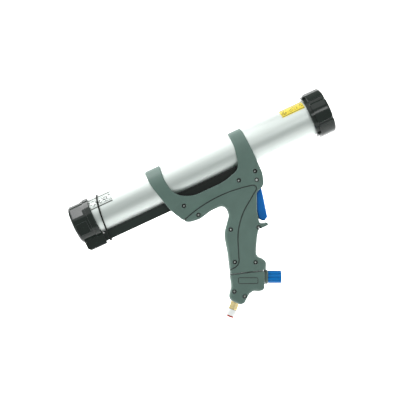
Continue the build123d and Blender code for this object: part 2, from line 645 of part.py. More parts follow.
with BuildPart() as handle:
    add(outer_form)
    add(shell_cavity(), mode=Mode.SUBTRACT)
    for x, z in SHELL_SCREWS:
        add(screw_boss(x, z) & outer_form)
    # trigger pivot bosses, either side of the trigger
    with BuildSketch(Plane.XZ):
        with Locations((PIVOT_X, PIVOT_Z)):
            Circle(BOSS_RADIUS)
    extrude(amount=GRIP_HALF_WIDTH + 1, both=True)
    with BuildSketch(Plane.XZ):
        with Locations((PIVOT_X, PIVOT_Z)):
            Circle(TRIGGER_BOSS_RADIUS + 1)
    extrude(amount=TRIGGER_WIDTH / 2 + TRIGGER_SIDE_GAP, both=True, mode=Mode.SUBTRACT)
    # barrel bore, window and the side opening for the rail
    with BuildSketch(Plane.YZ.offset(CUT_REAR_X)):
        Circle(BARREL_OUTER_RADIUS + SNUG_CLEARANCE)
    extrude(amount=CUT_LENGTH, mode=Mode.SUBTRACT)
    with BuildSketch(Plane.XZ):
        add(window)
    extrude(amount=CUT_REACH, both=True, mode=Mode.SUBTRACT)
    with BuildSketch(Plane.YZ.offset(REAR_BAND_X[0] - 5)):
        with Locations((0, RAIL_MIDDLE_Z)):
            Rectangle(RAIL_WIDTH + 2 * SNUG_CLEARANCE, RAIL_HEIGHT + 2 * SNUG_CLEARANCE)
    extrude(amount=RAIL_FRONT_X + RAIL_PLUG_FLANGE - REAR_BAND_X[0] + 5.6, mode=Mode.SUBTRACT)
    # screw recesses and holes, and the trigger pin's
    for x, z in SHELL_SCREWS:
        add(screw_hole(x, z), mode=Mode.SUBTRACT)
    with BuildSketch(Plane.XZ):
        with Locations((PIVOT_X, PIVOT_Z)):
            Circle(PIN_RADIUS + SNUG_CLEARANCE)
    extrude(amount=PIN_HALF_LENGTH + FACE_GAP, both=True, mode=Mode.SUBTRACT)
    with BuildSketch(Plane.XZ.offset(PIN_HALF_LENGTH)):
        with Locations((PIVOT_X, PIVOT_Z)):
            Circle(RECESS_RADIUS)
    extrude(amount=CUT_REACH, mode=Mode.SUBTRACT)
    # slot that the trigger moves in
    with BuildSketch(Plane.XZ):
        with BuildLine():
            Polyline(*TRIGGER_SLOT, close=True)
        make_face()
    extrude(amount=TRIGGER_WIDTH / 2 + TRIGGER_SIDE_GAP, both=True, mode=Mode.SUBTRACT)
    # way out of the grip for the tube from the regulator
    with BuildSketch(Plane.XY.offset(-180)):
        with Locations((INLET_TUBE_X, 0)):
            Circle(AIR_TUBE_RADIUS + AIR_TUBE_ROOM)
    extrude(amount=22, mode=Mode.SUBTRACT)
    # groove round the palm panel
    add(panel_groove(), mode=Mode.SUBTRACT)

for shell_name, kept_side in (("right_shell", Keep.TOP), ("left_shell", Keep.BOTTOM)):
    keep(split(handle.part, bisect_by=Plane.XZ, keep=kept_side), shell_name)
keep(screws(SHELL_SCREWS), "shell_screws")

# ---------------------------------------------------------------- trigger and its pin
TRIGGER_CORNERS = [
    (-145.6, -54.0, 0), (-136.0, -54.0, 1.5), (-138.8, -66.0, 10.0), (-142.2, -82.0, 40.0),
    (-148.6, -109.0, 3.6), (-156.4, -112.7, 3.6), (-161.7, -106.0, 3.6), (-158.6, -92.0, 30.0),
    (-158.6, -85.5, 0), (TRIGGER_PAD_X, -85.5, 1.0), (TRIGGER_PAD_X, -75.0, 1.0),
    (-153.0, -69.0, 6.0),
]
trigger_side = rounded_outline(TRIGGER_CORNERS)
with BuildPart() as trigger:
    with BuildSketch(Plane.XZ):
        add(trigger_side)
        with Locations((PIVOT_X, PIVOT_Z)):
            Circle(TRIGGER_BOSS_RADIUS)
            Circle(PIN_RADIUS + SLIDE_CLEARANCE, mode=Mode.SUBTRACT)
    extrude(amount=TRIGGER_WIDTH / 2, both=True)
    chamfer(trigger.edges().group_by(Axis.Y)[0] + trigger.edges().group_by(Axis.Y)[-1], 0.8)
keep(trigger.part, "trigger")

with BuildPart() as trigger_pin:
    with BuildSketch(Plane.XZ.offset(-PIN_HALF_LENGTH)):
        with Locations((PIVOT_X, PIVOT_Z)):
            Circle(PIN_RADIUS)
    extrude(amount=2 * PIN_HALF_LENGTH)
    chamfer(trigger_pin.edges().filter_by(GeomType.CIRCLE), 0.4)
keep(trigger_pin.part, "trigger_pin")


# ---------------------------------------------------------------- trigger valve
def valve_plane(x):
    """A plane across the valve's axis, facing back."""
    return Plane((x, 0, VALVE_Z), x_dir=(0, 1, 0), z_dir=(-1, 0, 0))


with BuildPart() as valve_body:
    with BuildSketch(valve_plane(VALVE_BODY_FRONT_X)):
        Circle(VALVE_BODY_RADIUS)
    extrude(amount=VALVE_BODY_LENGTH)
    with BuildSketch(valve_plane(VALVE_BODY_FRONT_X - VALVE_FLANGE_INSET)):
        Rectangle(2 * (GRIP_HALF_WIDTH - SHELL_WALL - FACE_GAP), 2 * VALVE_BODY_RADIUS - 2)
    extrude(amount=VALVE_FLANGE_THICKNESS)
    with BuildSketch(valve_plane(VALVE_BODY_FRONT_X)):
        Circle(STEM_RADIUS + SLIDE_CLEARANCE)
    extrude(amount=VALVE_FRONT_WALL, mode=Mode.SUBTRACT)
    with BuildSketch(valve_plane(VALVE_BODY_FRONT_X - VALVE_FRONT_WALL)):
        Circle(VALVE_BORE_RADIUS)
    extrude(amount=VALVE_BODY_LENGTH - VALVE_FRONT_WALL - VALVE_REAR_WALL, mode=Mode.SUBTRACT)
    with BuildSketch(Plane.XY.offset(VALVE_Z)):
        with Locations((OUTLET_TUBE_X, 0), (INLET_TUBE_TOP_X, 0)):
            Circle(AIR_TUBE_BORE)
    extrude(amount=VALVE_BODY_RADIUS, both=True, mode=Mode.SUBTRACT)
keep(valve_body.part, "valve_body")

STEM_PISTON_X = VALVE_BODY_FRONT_X - VALVE_FRONT_WALL - STEM_RETURN
SEAL_PLACES = [STEM_PISTON_X - SEAL_INSET,
               STEM_PISTON_X - STEM_PISTON_LENGTH + SEAL_INSET + SEAL_WIDTH]
with BuildPart() as valve_stem:
    with BuildSketch(valve_plane(STEM_TIP_X)):
        Circle(STEM_RADIUS)
    extrude(amount=STEM_TIP_X - STEM_PISTON_X + 0.5)
    fillet(valve_stem.edges().group_by(Axis.X)[-1], 1.0)
    with BuildSketch(valve_plane(STEM_PISTON_X)):
        Circle(VALVE_BORE_RADIUS - SLIDE_CLEARANCE)
    extrude(amount=STEM_PISTON_LENGTH)
    for seal_x in SEAL_PLACES:
        with BuildSketch(valve_plane(seal_x)):
            Circle(VALVE_BORE_RADIUS)
            Circle(VALVE_BORE_RADIUS - SEAL_DEPTH, mode=Mode.SUBTRACT)
        extrude(amount=SEAL_WIDTH, mode=Mode.SUBTRACT)
keep(valve_stem.part, "valve_stem")

with BuildPart() as valve_seals:
    for seal_x in SEAL_PLACES:
        with BuildSketch(valve_plane(seal_x - 0.05)):
            Circle(VALVE_BORE_RADIUS - SLIDE_CLEARANCE)
            Circle(VALVE_BORE_RADIUS - SEAL_DEPTH + 0.02, mode=Mode.SUBTRACT)
        extrude(amount=SEAL_WIDTH - 0.1)
keep(valve_seals.part, "valve_seals")

SPRING_FRONT_X = STEM_PISTON_X - STEM_PISTON_LENGTH - FACE_GAP
SPRING_REAR_X = VALVE_BODY_REAR_X + VALVE_REAR_WALL + FACE_GAP
valve_spring = coil(valve_plane(SPRING_FRONT_X), VALVE_BORE_RADIUS - 0.9, VALVE_SPRING_WIRE,
                    SPRING_FRONT_X - SPRING_REAR_X, VALVE_SPRING_TURNS)
keep(valve_spring, "valve_spring")


def air_tube(corners, bend):
    """A plastic air tube on the plane Y = 0, through corners as (x, z)."""
    with BuildPart() as made:
        with BuildLine(Plane.XZ) as path:
            FilletPolyline(*corners, radius=bend)
        line = path.line
        with BuildSketch(Plane(line @ 0, z_dir=line % 0)):
            Circle(AIR_TUBE_RADIUS)
            Circle(AIR_TUBE_BORE, mode=Mode.SUBTRACT)
        sweep(path=line)
    return made.part


VALVE_TOP_Z = VALVE_Z + VALVE_BODY_RADIUS + FACE_GAP
VALVE_FOOT_Z = VALVE_Z - VALVE_BODY_RADIUS - FACE_GAP
outlet_tube = air_tube([(RAIL_TUBE_X, RAIL_BOTTOM_Z - 0.3),
                        (RAIL_TUBE_X, RAIL_BOTTOM_Z - OUTLET_TUBE_DROP),
                        (OUTLET_TUBE_X, RAIL_BOTTOM_Z - OUTLET_TUBE_DROP - 3.0),
                        (OUTLET_TUBE_X, VALVE_TOP_Z)], AIR_TUBE_BEND)
keep(outlet_tube, "outlet_tube")

# ---------------------------------------------------------------- regulator housing
HOUSING_CORNERS = [
    (-236.6, -163.0, 1.5), (-187.0, -179.3, 1.2), (-199.0, -204.8, 2.5), (-206.0, -204.2, 4.0),
    (-214.5, -199.9, 5.0), (-221.5, -201.0, 8.0), (-233.4, -210.2, 4.0), (-240.8, -209.8, 2.0),
    (-250.4, -198.2, 2.0), (-251.4, -192.8, 4.0), (-241.4, -180.0, 16.0),
]
housing_side = rounded_outline(HOUSING_CORNERS)
with BuildPart() as housing:
    with BuildSketch(Plane.XZ):
        add(housing_side)
    extrude(amount=HOUSING_HALF_WIDTH, both=True)
    # raised neck that meets the handle's foot
    with BuildSketch(Plane.XZ):
        with BuildLine():
            Polyline((-231.6, -163.2), (-188.4, -177.35), (-190.0, -184.0), (-232.0, -170.0),
                     close=True)
        make_face()
    extrude(amount=HOUSING_HALF_WIDTH - HOUSING_NECK_INSET, both=True)
    with BuildSketch(regulator_plane(REGULATOR_BODY_BACK - 0.1)):
        Circle(REGULATOR_BODY_RADIUS + SNUG_CLEARANCE)
    extrude(amount=60, mode=Mode.SUBTRACT)
    with BuildSketch(inlet_plane(10)):
        Circle(ADAPTOR_THREAD_RADIUS + SNUG_CLEARANCE)
    extrude(amount=-10 - ADAPTOR_THREAD_LENGTH - 0.2, mode=Mode.SUBTRACT)
    with BuildSketch(inlet_plane(10)):
        Circle(ADAPTOR_BORE_RADIUS)
    extrude(amount=-41, mode=Mode.SUBTRACT)
    with BuildSketch(Plane.XY.offset(-158)):
        with Locations((INLET_TUBE_X, 0)):
            Circle(AIR_TUBE_RADIUS + AIR_TUBE_ROOM)
    extrude(amount=-16, mode=Mode.SUBTRACT)
    for x, z in HOUSING_SCREWS:
        add(screw_hole(x, z), mode=Mode.SUBTRACT)
for shell_name, kept_side in (("right_housing", Keep.TOP), ("left_housing", Keep.BOTTOM)):
    keep(split(housing.part, bisect_by=Plane.XZ, keep=kept_side), shell_name)
keep(screws(HOUSING_SCREWS), "housing_screws")

# ---------------------------------------------------------------- regulator
with BuildPart() as regulator_body:
    with BuildSketch(regulator_plane(REGULATOR_BODY_BACK)):
        Circle(REGULATOR_BODY_RADIUS)
    extrude(amount=REGULATOR_BODY_FRONT - REGULATOR_BODY_BACK)
    with BuildSketch(regulator_plane(REGULATOR_CHAMBER_BACK)):
        Circle(REGULATOR_CHAMBER_RADIUS)
    extrude(amount=REGULATOR_BODY_FRONT - REGULATOR_CHAMBER_BACK, mode=Mode.SUBTRACT)
    with BuildSketch(regulator_plane(REGULATOR_BODY_BACK)):
        Circle(REGULATOR_PORT_RADIUS)
    extrude(amount=REGULATOR_CHAMBER_BACK - REGULATOR_BODY_BACK, mode=Mode.SUBTRACT)
keep(regulator_body.part, "regulator_body")

diaphragm = ring(regulator_plane(REGULATOR_CHAMBER_BACK + 0.05),
                 REGULATOR_CHAMBER_RADIUS - SNUG_CLEARANCE, 0, DIAPHRAGM_THICKNESS)
keep(diaphragm, "regulator_diaphragm")

with BuildPart() as regulator_collar:
    with BuildSketch(regulator_plane(REGULATOR_BODY_FRONT + 0.05)):
        Circle(COLLAR_RADIUS)
    extrude(amount=-REGULATOR_BODY_FRONT - GAP)
    chamfer(regulator_collar.edges().filter_by(GeomType.CIRCLE), 0.5)
    with BuildSketch(regulator_plane(REGULATOR_BODY_FRONT - COLLAR_NECK)):
        Circle(REGULATOR_CHAMBER_RADIUS - SNUG_CLEARANCE)
    extrude(amount=COLLAR_NECK + 0.5)
    with BuildSketch(regulator_plane(REGULATOR_BODY_FRONT - COLLAR_NECK)):
        Circle(SPINDLE_RADIUS + SLIDE_CLEARANCE)
    extrude(amount=10, mode=Mode.SUBTRACT)
keep(regulator_collar.part, "regulator_collar")

SEAT_FRONT = REGULATOR_BODY_FRONT - COLLAR_NECK - 0.6
with BuildPart() as spring_seat:
    with BuildSketch(regulator_plane(SEAT_FRONT - SEAT_THICKNESS)):
        Circle(REGULATOR_CHAMBER_RADIUS - SLIDE_CLEARANCE)
        Circle(SPINDLE_RADIUS + SLIDE_CLEARANCE, mode=Mode.SUBTRACT)
    extrude(amount=SEAT_THICKNESS)
keep(spring_seat.part, "spring_seat")

SPRING_BACK = REGULATOR_CHAMBER_BACK + DIAPHRAGM_THICKNESS + 0.15
SPRING_SPACE = SEAT_FRONT - SEAT_THICKNESS - 0.1 - SPRING_BACK
regulator_spring = coil(regulator_plane(SPRING_BACK), REGULATOR_CHAMBER_RADIUS - 1.6,
                        REGULATOR_SPRING_WIRE, SPRING_SPACE, REGULATOR_SPRING_TURNS)
keep(regulator_spring, "regulator_spring")

SPINDLE_BACK = SEAT_FRONT - SEAT_THICKNESS - SEAT_TRAVEL - 1.0
SPINDLE_FRONT = KNOB_LIFT + KNOB_LENGTH - KNOB_END_WALL
spindle = ring(regulator_plane(SPINDLE_BACK), SPINDLE_RADIUS, 0, SPINDLE_FRONT - FACE_GAP - SPINDLE_BACK)
keep(spindle, "regulator_spindle")

with BuildPart() as regulator_knob:
    with BuildSketch(regulator_plane(KNOB_LIFT)):
        Circle(KNOB_RADIUS)
        with PolarLocations(KNOB_RADIUS + 0.35, KNOB_FLUTES):
            Circle(KNOB_FLUTE_RADIUS, mode=Mode.SUBTRACT)
    extrude(amount=KNOB_LENGTH)
    with BuildSketch(regulator_plane(KNOB_LIFT)):
        Circle(SPINDLE_RADIUS + 0.01)
    extrude(amount=KNOB_LENGTH - KNOB_END_WALL, mode=Mode.SUBTRACT)
keep(regulator_knob.part, "regulator_knob")

# tube from the regulator up the grip to the valve
REGULATOR_PORT = regulator_plane(REGULATOR_BODY_BACK + 6).origin + Vector(
    sin(radians(REGULATOR_TILT)), 0, cos(radians(REGULATOR_TILT))) * (REGULATOR_BODY_RADIUS + 1.6)
inlet_tube = air_tube([(REGULATOR_PORT.X, REGULATOR_PORT.Z), (INLET_TUBE_X, -160.0),
                       (-204.5, -132.0), (INLET_TUBE_TOP_X, -104.0),
                       (INLET_TUBE_TOP_X, VALVE_FOOT_Z)], 6.0)
keep(inlet_tube, "inlet_tube")

# ---------------------------------------------------------------- air inlet
with BuildPart() as inlet_adaptor:
    with BuildSketch(inlet_plane(-ADAPTOR_THREAD_LENGTH)):
        Circle(ADAPTOR_THREAD_RADIUS)
    extrude(amount=ADAPTOR_THREAD_LENGTH + 1.0)
    with BuildSketch(inlet_plane(0.6)):
        Circle(ADAPTOR_HEX_FLATS / 2 + 0.6)
    extrude(amount=ADAPTOR_HEX_LENGTH)
    with BuildSketch(inlet_plane(2.0)):
        Circle(ADAPTOR_HEX_FLATS)
        RegularPolygon(ADAPTOR_HEX_FLATS / 2, 6, major_radius=False, mode=Mode.SUBTRACT)
    extrude(amount=ADAPTOR_HEX_LENGTH - 2.8, mode=Mode.SUBTRACT)
    with BuildSketch(inlet_plane(-ADAPTOR_THREAD_LENGTH)):
        Circle(ADAPTOR_BORE_RADIUS)
    extrude(amount=ADAPTOR_THREAD_LENGTH + ADAPTOR_HEX_LENGTH + 1, mode=Mode.SUBTRACT)
keep(inlet_adaptor.part, "inlet_adaptor")

COUPLING_BACK = ADAPTOR_HEX_LENGTH + 0.65
COUPLING_FRONT = COUPLING_BACK + COUPLING_LENGTH
SLEEVE_RADIUS = HOSE_RADIUS + HOSE_CLEARANCE + RELEASE_SLEEVE_WALL
SLEEVE_BACK = COUPLING_BACK + 5.6
with BuildPart() as inlet_coupling:
    with BuildSketch(inlet_plane(COUPLING_BACK)):
        Circle(COUPLING_RADIUS)
        Circle(ADAPTOR_BORE_RADIUS, mode=Mode.SUBTRACT)
    extrude(amount=COUPLING_LENGTH)
    chamfer(inlet_coupling.edges().filter_by(GeomType.CIRCLE).sort_by(SortBy.RADIUS)[-2:], 0.6)
    with BuildSketch(inlet_plane(COUPLING_BACK + 1.2)):
        Circle(HOSE_RADIUS + HOSE_CLEARANCE)
    extrude(amount=COUPLING_LENGTH, mode=Mode.SUBTRACT)
    with BuildSketch(inlet_plane(SLEEVE_BACK - RELEASE_TRAVEL - 0.3)):
        Circle(SLEEVE_RADIUS + SLIDE_CLEARANCE)
    extrude(amount=COUPLING_LENGTH, mode=Mode.SUBTRACT)
keep(inlet_coupling.part, "inlet_coupling")

with BuildPart() as release_ring:
    with BuildSketch(inlet_plane(SLEEVE_BACK)):
        Circle(SLEEVE_RADIUS)
    extrude(amount=COUPLING_FRONT + RELEASE_TRAVEL + 0.3 - SLEEVE_BACK + 0.2)
    with BuildSketch(inlet_plane(COUPLING_FRONT + RELEASE_TRAVEL + 0.2)):
        Circle(RELEASE_FLANGE_RADIUS)
    extrude(amount=RELEASE_FLANGE_THICKNESS)
    chamfer(release_ring.edges().filter_by(GeomType.CIRCLE).sort_by(SortBy.RADIUS)[-1:], 0.3)
    with BuildSketch(inlet_plane(SLEEVE_BACK)):
        Circle(HOSE_RADIUS + HOSE_CLEARANCE)
    extrude(amount=20, mode=Mode.SUBTRACT)
keep(release_ring.part, "release_ring")

# ---------------------------------------------------------------- barrel rest in the saddle
with BuildSketch(Plane.XY) as rest_side:
    add(window)
    offset(amount=-FACE_GAP)
rest_region = rest_side.sketch

with BuildPart() as barrel_rest:
    with BuildSketch(Plane.XZ):
        with Locations(((REST_X[0] + REST_X[1]) / 2, (REST_TOP_Z + WINDOW_BOTTOM_Z) / 2)):
            Rectangle(REST_X[1] - REST_X[0], REST_TOP_Z - WINDOW_BOTTOM_Z)
        add(rest_region, mode=Mode.INTERSECT)
    extrude(amount=REST_HALF_WIDTH, both=True)
    with BuildSketch(Plane.YZ.offset(CUT_REAR_X)):
        Circle(BARREL_OUTER_RADIUS + SNUG_CLEARANCE)
    extrude(amount=CUT_LENGTH, mode=Mode.SUBTRACT)
keep(barrel_rest.part, "barrel_rest")
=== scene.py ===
"""Looks of the air-powered caulking gun: finishes, rounded handle shells, labels and small parts.

Positions are in metres in the part's own frame: +X out of the nozzle end, +Z up, the handle's
shells meeting on Y = 0. Helpers that draw the handle work in millimetres and scale at the end.
"""
import json
from math import asin, atan2, ceil, cos, hypot, pi, radians, sin, sqrt

import bmesh
import bpy
from mathutils import Matrix, Vector
from mathutils.bvhtree import BVHTree


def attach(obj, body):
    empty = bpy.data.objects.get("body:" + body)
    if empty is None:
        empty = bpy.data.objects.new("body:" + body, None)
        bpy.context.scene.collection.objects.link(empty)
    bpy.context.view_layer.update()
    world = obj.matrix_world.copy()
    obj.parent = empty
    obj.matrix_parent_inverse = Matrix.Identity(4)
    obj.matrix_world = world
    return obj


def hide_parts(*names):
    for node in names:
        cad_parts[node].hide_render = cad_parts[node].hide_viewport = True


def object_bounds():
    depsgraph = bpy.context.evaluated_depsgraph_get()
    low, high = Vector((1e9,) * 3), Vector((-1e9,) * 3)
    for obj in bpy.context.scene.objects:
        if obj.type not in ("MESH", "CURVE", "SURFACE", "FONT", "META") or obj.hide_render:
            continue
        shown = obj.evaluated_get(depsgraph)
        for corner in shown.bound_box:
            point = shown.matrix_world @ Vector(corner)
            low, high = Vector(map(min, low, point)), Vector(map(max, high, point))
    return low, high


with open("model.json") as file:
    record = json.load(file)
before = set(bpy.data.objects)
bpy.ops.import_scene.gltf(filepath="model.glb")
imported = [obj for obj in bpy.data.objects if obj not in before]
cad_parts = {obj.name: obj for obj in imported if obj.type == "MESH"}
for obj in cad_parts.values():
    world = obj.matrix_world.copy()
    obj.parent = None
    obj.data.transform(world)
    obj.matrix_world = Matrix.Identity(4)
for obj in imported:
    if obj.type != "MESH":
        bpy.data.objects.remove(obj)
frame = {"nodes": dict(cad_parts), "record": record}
cad_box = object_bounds()
MM = 0.001

# ---------------------------------------------------------------- sizes shared with the frame
BARREL_RADIUS = 27.0
BAND_RADIUS = 29.4
GRIP_HALF_WIDTH = 17.5
GRIP_TOP = -68.0
HOUSING_HALF_WIDTH = 17.0
TRIGGER_HALF_WIDTH = 7.5
REGULATOR_TILT = radians(24.9)

# ---------------------------------------------------------------- sizes of the added shapes
FORM_GROWTH = 0.1
FORM_EDGE_SEGMENTS = 7
PANEL_GROOVE_RADIUS = 1.15
PANEL_GROOVE_DEPTH = 0.5
BESIDE_THE_HANDLE_Y = -60.0
BADGE_CENTRE = (-214.9, -181.9)
BADGE_LENGTH = 28.8
BADGE_HEIGHT = 8.7
BADGE_ROUNDING = 2.0
BADGE_GROOVE_RADIUS = 0.75
BADGE_GROOVE_DEPTH = 0.35
LIP_REAR_X = -379.0
LIP_FRONT_X = -276.0
LIP_INNER_Y = 7.1
LIP_OUTER_Y = 8.95
LIP_FOOT_Z = -29.6
LIP_CLEARANCE = 0.1
LIP_TOP_STEPS = 4

# distances in metres within which corners count as one
COPY_MERGE = 0.000002
CUT_MERGE = 0.000004


# ---------------------------------------------------------------- shader groups
def new_group(name, inputs, outputs):
    """An empty shader group with the named inputs and outputs."""
    group = bpy.data.node_groups.new(name, "ShaderNodeTree")
    for socket_name, kind, value in inputs:
        socket = group.interface.new_socket(socket_name, in_out="INPUT", socket_type=kind)
        socket.default_value = value
    for socket_name, kind in outputs:
        group.interface.new_socket(socket_name, in_out="OUTPUT", socket_type=kind)
    return group, group.nodes.new("NodeGroupInput"), group.nodes.new("NodeGroupOutput")


def add_node(tree, kind, **settings):
    """A node with its properties set; inputs are given by name as a dict under sockets."""
    node = tree.nodes.new(kind)
    sockets = settings.pop("sockets", {})
    for key, value in settings.items():
        setattr(node, key, value)
    for key, value in sockets.items():
        node.inputs[key].default_value = value
    return node


def object_coordinates(tree):
    """The place on the piece in its own coordinates."""
    return tree.nodes.new("ShaderNodeTexCoord").outputs["Object"]


def make_grain_group():
    """Fine moulded texture: a height for a bump and a small change of roughness."""
    group, given, result = new_group(
        "moulded_grain",
        [("Scale", "NodeSocketFloat", 900.0), ("Unevenness", "NodeSocketFloat", 0.5)],
        [("Height", "NodeSocketFloat"), ("Patch", "NodeSocketFloat")])
    place = object_coordinates(group)
    fine = add_node(group, "ShaderNodeTexNoise", sockets={"Detail": 2.0, "Roughness": 0.6})
    broad = add_node(group, "ShaderNodeTexNoise", sockets={"Scale": 38.0, "Detail": 3.0})
    group.links.new(place, fine.inputs["Vector"])
    group.links.new(given.outputs["Scale"], fine.inputs["Scale"])
    group.links.new(place, broad.inputs["Vector"])
    spread = add_node(group, "ShaderNodeMapRange", sockets={"From Min": 0.3, "From Max": 0.7})
    group.links.new(broad.outputs["Fac"], spread.inputs["Value"])
    scaled = add_node(group, "ShaderNodeMath", operation="MULTIPLY")
    group.links.new(spread.outputs["Result"], scaled.inputs[0])
    group.links.new(given.outputs["Unevenness"], scaled.inputs[1])
    group.links.new(fine.outputs["Fac"], result.inputs["Height"])
    group.links.new(scaled.outputs["Value"], result.inputs["Patch"])
    return group


def make_scratch_group():
    """Sparse fine scratches and rubbed patches, as a mask from 0 to 1."""
    group, given, result = new_group(
        "handling_marks",
        [("Scale", "NodeSocketFloat", 60.0), ("Amount", "NodeSocketFloat", 0.4)],
        [("Mask", "NodeSocketFloat")])
    place = object_coordinates(group)
    stretch = add_node(group, "ShaderNodeMapping")
    stretch.inputs["Scale"].default_value = (0.35, 3.0, 3.0)
    stretch.inputs["Rotation"].default_value = (0.3, 0.2, 0.5)
    lines = add_node(group, "ShaderNodeTexNoise", sockets={"Detail": 6.0, "Roughness": 0.75})
    group.links.new(place, stretch.inputs["Vector"])
    group.links.new(stretch.outputs["Vector"], lines.inputs["Vector"])
    group.links.new(given.outputs["Scale"], lines.inputs["Scale"])
    sharpen = add_node(group, "ShaderNodeMapRange", sockets={"From Min": 0.60, "From Max": 0.74})
    group.links.new(lines.outputs["Fac"], sharpen.inputs["Value"])
    scaled = add_node(group, "ShaderNodeMath", operation="MULTIPLY")
    group.links.new(sharpen.outputs["Result"], scaled.inputs[0])
    group.links.new(given.outputs["Amount"], scaled.inputs[1])
    group.links.new(scaled.outputs["Value"], result.inputs["Mask"])
    return group


def make_edge_wear_and_highlight_group():
    """A mask of the narrow strip along the edges, made lighter partly by wear and partly by a painted
    highlight.
    """
    group, given, result = new_group(
        "edge_wear_and_highlight",
        [("Strength", "NodeSocketFloat", 0.5), ("Width", "NodeSocketFloat", 0.0007)],
        [("Edge", "NodeSocketFloat")])
    surface = group.nodes.new("ShaderNodeNewGeometry")
    rounded = group.nodes.new("ShaderNodeBevel")
    rounded.samples = 6
    group.links.new(given.outputs["Width"], rounded.inputs["Radius"])
    turned = add_node(group, "ShaderNodeVectorMath", operation="DOT_PRODUCT")
    group.links.new(surface.outputs["Normal"], turned.inputs[0])
    group.links.new(rounded.outputs["Normal"], turned.inputs[1])
    edge = add_node(group, "ShaderNodeMapRange", sockets={"From Min": 0.99, "From Max": 0.85})
    group.links.new(turned.outputs["Value"], edge.inputs["Value"])
    worn_and_lit = add_node(group, "ShaderNodeMath", operation="MULTIPLY")
    group.links.new(edge.outputs["Result"], worn_and_lit.inputs[0])
    group.links.new(given.outputs["Strength"], worn_and_lit.inputs[1])
    group.links.new(worn_and_lit.outputs["Value"], result.inputs["Edge"])
    return group


def make_painted_shade_group():
    """A mask of painted shade, from ambient occlusion, that is 1 deep in grooves and recesses and 0 in
    the open.
    """
    group, given, result = new_group(
        "painted_recess_shade",
        [("Distance", "NodeSocketFloat", 0.003), ("Strength", "NodeSocketFloat", 1.0)],
        [("Mask", "NodeSocketFloat")])
    hidden = group.nodes.new("ShaderNodeAmbientOcclusion")
    hidden.samples = 8
    group.links.new(given.outputs["Distance"], hidden.inputs["Distance"])
    painted_shade = add_node(group, "ShaderNodeMapRange", sockets={"From Min": 0.88, "From Max": 0.42})
    group.links.new(hidden.outputs["AO"], painted_shade.inputs["Value"])
    scaled = add_node(group, "ShaderNodeMath", operation="MULTIPLY")
    group.links.new(painted_shade.outputs["Result"], scaled.inputs[0])
    group.links.new(given.outputs["Strength"], scaled.inputs[1])
    group.links.new(scaled.outputs["Value"], result.inputs["Mask"])
    return group


GRAIN = make_grain_group()
PAINTED_RECESS_SHADE = make_painted_shade_group()
MARKS = make_scratch_group()
EDGE_WEAR_AND_HIGHLIGHT = make_edge_wear_and_highlight_group()


# ---------------------------------------------------------------- finishes
def begin_finish(name):
    """A new material with its Principled shader and the shader's tree."""
    material = bpy.data.materials.new(name)
    material.use_nodes = True
    tree = material.node_tree
    return material, tree, tree.nodes["Principled BSDF"]


def place_group(tree, group, **values):
    """A shared shader group set into a finish, with its inputs given by name."""
    node = tree.nodes.new("ShaderNodeGroup")
    node.node_tree = group
    for key, value in values.items():
        node.inputs[key].default_value = value
    return node


def blend_colours(tree, factor, first, second):
    """A mix of two plain colours, or of a linked colour and a plain one."""
    mix = tree.nodes.new("ShaderNodeMix")
    mix.data_type = "RGBA"
    tree.links.new(factor, mix.inputs["Factor"])
    for value, socket in ((first, mix.inputs[6]), (second, mix.inputs[7])):
        if isinstance(value, bpy.types.NodeSocket):
            tree.links.new(value, socket)
        else:
            socket.default_value = (*value, 1.0)
    return mix.outputs[2]


def ramp_value(tree, factor, low, high):
    """A number that runs from low to high with the factor."""
    node = add_node(tree, "ShaderNodeMapRange", sockets={"To Min": low, "To Max": high})
    tree.links.new(factor, node.inputs["Value"])
    return node.outputs["Result"]


def bump(tree, shader, height, distance, strength=1.0):
    """Fine relief on a finish from a height."""
    node = add_node(tree, "ShaderNodeBump", sockets={"Strength": strength, "Distance": distance})
    tree.links.new(height, node.inputs["Height"])
    tree.links.new(node.outputs["Normal"], shader.inputs["Normal"])


def moulded_plastic(name, colour, roughness, grain_scale, grain_depth, edge_wear_and_highlight_colour, wear_and_highlight=0.3,
                    coat=0.0, marks=0.3, gloss=0.5, sheen=0.0):
    """Moulded plastic with a fine grain, rubbed patches, edges lighter from wear and from a painted
    highlight, and painted shade in recesses.
    """
    material, tree, shader = begin_finish(name)
    grain = place_group(tree, GRAIN, Scale=grain_scale, Unevenness=1.0)
    scuffs = place_group(tree, MARKS, Scale=55.0, Amount=marks)
    # edges are mixed towards a lighter colour: partly rubbed wear, partly a painted highlight along
    # the rims
    edges = place_group(tree, EDGE_WEAR_AND_HIGHLIGHT, Strength=wear_and_highlight)
    darker = tuple(c * 0.86 for c in colour)
    base = blend_colours(tree, grain.outputs["Patch"], darker, colour)
    rubbed = blend_colours(tree, scuffs.outputs["Mask"], base, tuple(c * 1.12 + 0.006 for c in colour))
    worn_and_lit = blend_colours(tree, edges.outputs["Edge"], rubbed, edge_wear_and_highlight_colour)
    # painted shade: the colour is darkened to 0.12 of the base in grooves, recesses and joints found
    # by ambient occlusion
    painted_shade = place_group(tree, PAINTED_RECESS_SHADE, Distance=0.005, Strength=0.95)
    with_painted_shade = blend_colours(tree, painted_shade.outputs["Mask"], worn_and_lit, tuple(c * 0.12 for c in colour))
    tree.links.new(with_painted_shade, shader.inputs["Base Color"])
    rough = ramp_value(tree, grain.outputs["Patch"], roughness * 0.88, roughness * 1.1)
    tree.links.new(rough, shader.inputs["Roughness"])
    shader.inputs["Specular IOR Level"].default_value = gloss
    shader.inputs["Sheen Weight"].default_value = sheen
    shader.inputs["Sheen Roughness"].default_value = 0.45
    shader.inputs["Sheen Tint"].default_value = (0.85, 1.0, 0.95, 1.0)
    shader.inputs["Coat Weight"].default_value = coat
    shader.inputs["Coat Roughness"].default_value = 0.12
    bump(tree, shader, grain.outputs["Height"], grain_depth)
    return material


